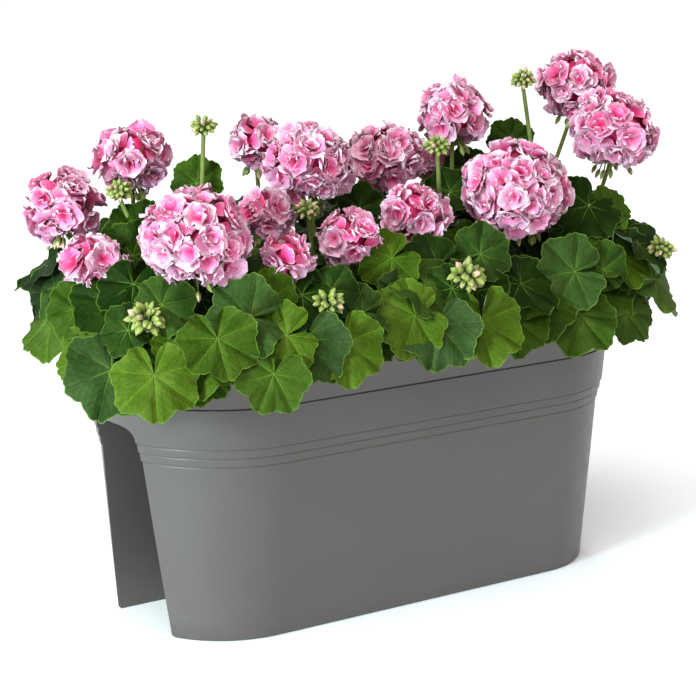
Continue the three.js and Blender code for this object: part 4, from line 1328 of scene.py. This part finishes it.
# Sun: azimuth, elevation, strength and spread. Area lights: name, azimuth, elevation, distance,
# size, power and colour.
SKY = (-54, 50, 2.3, 50)
AREA_LIGHTS = (
    ("key", -73, 12, 3.0, 0.8, 118, (0.70, 0.95, 1.0)),
    ("back", 165, 40, 3.4, 1.6, 28, (1, 1, 1)),
)


def direction(azimuth, elevation):
    a, e = math.radians(azimuth), math.radians(elevation)
    return Vector((math.sin(a) * math.cos(e), -math.cos(a) * math.cos(e), math.sin(e)))


def add_camera():
    data = bpy.data.cameras.new("camera")
    data.lens = CAMERA["lens"]
    data.sensor_width = CAMERA["sensor"]
    data.clip_start = 0.1
    data.clip_end = 100
    back = direction(CAMERA["azimuth"], CAMERA["elevation"])
    place = (Vector(CAMERA["target"]) + back * CAMERA["distance"]) * MM
    bpy.context.scene.camera = add_object("camera", data, place, back)


def add_area_light(name, azimuth, elevation, distance, size, power, colour):
    data = bpy.data.lights.new(name, "AREA")
    data.shape = "DISK"
    data.size = size
    data.energy = power
    data.color = colour
    back = direction(azimuth, elevation)
    add_object(name, data, Vector(STUDIO["aim"]) + back * distance, back)


def add_sun(name, azimuth, elevation, strength, spread):
    data = bpy.data.lights.new(name, "SUN")
    data.energy = strength
    data.angle = math.radians(spread)
    add_object(name, data, back=direction(azimuth, elevation))


def add_stage():
    data = bpy.data.meshes.new("floor")
    reach = STUDIO["floor_half"]
    corners = [(-reach, -reach, 0), (reach, -reach, 0), (reach, reach, 0), (-reach, reach, 0)]
    data.from_pydata(corners, [], [(0, 1, 2, 3)])
    s = Shader("pale_floor", (0.96, 0.96, 0.96), 0.95, Specular_IOR_Level=0.2)
    shade = s.ramp(s.noise(3, 2), 0.3, 0.7)
    s.set("Base Color", s.mix(shade, (0.95, 0.95, 0.95), (0.97, 0.97, 0.97)))
    data.materials.append(s.material)
    floor = add_object("floor", data)
    world = bpy.data.worlds.new("studio")
    world.use_nodes = True
    background = world.node_tree.nodes["Background"]
    background.inputs["Color"].default_value = (1, 1, 1, 1)
    background.inputs["Strength"].default_value = STUDIO["world"]
    scene = bpy.context.scene
    scene.world = world
    scene.view_settings.view_transform = "Standard"
    add_sun("sky", *SKY)
    for light in AREA_LIGHTS:
        add_area_light(*light)


# ------------------------------------------------------------------ assembly

MATERIALS = dict(leaf=leaf_material(), under=leaf_under_material(), stalk=stalk_material(),
                 petal=petal_material(), bud=bud_material())

add_camera()
add_stage()
planter_shell()
potting_soil()
all_leaves = (row_leaves(LEAF_ROWS, FIRST_LEAF["rows"], True)
              + row_leaves(FILL_ROWS, FIRST_LEAF["fill"], False)
              + front_leaves(FIRST_LEAF["front"]))
for plant in range(PLANTS):
    leafy_plant(plant, all_leaves)
for order, (name, _, place, radius) in enumerate(BLOOMS):
    flower_head(order, name, place, radius)
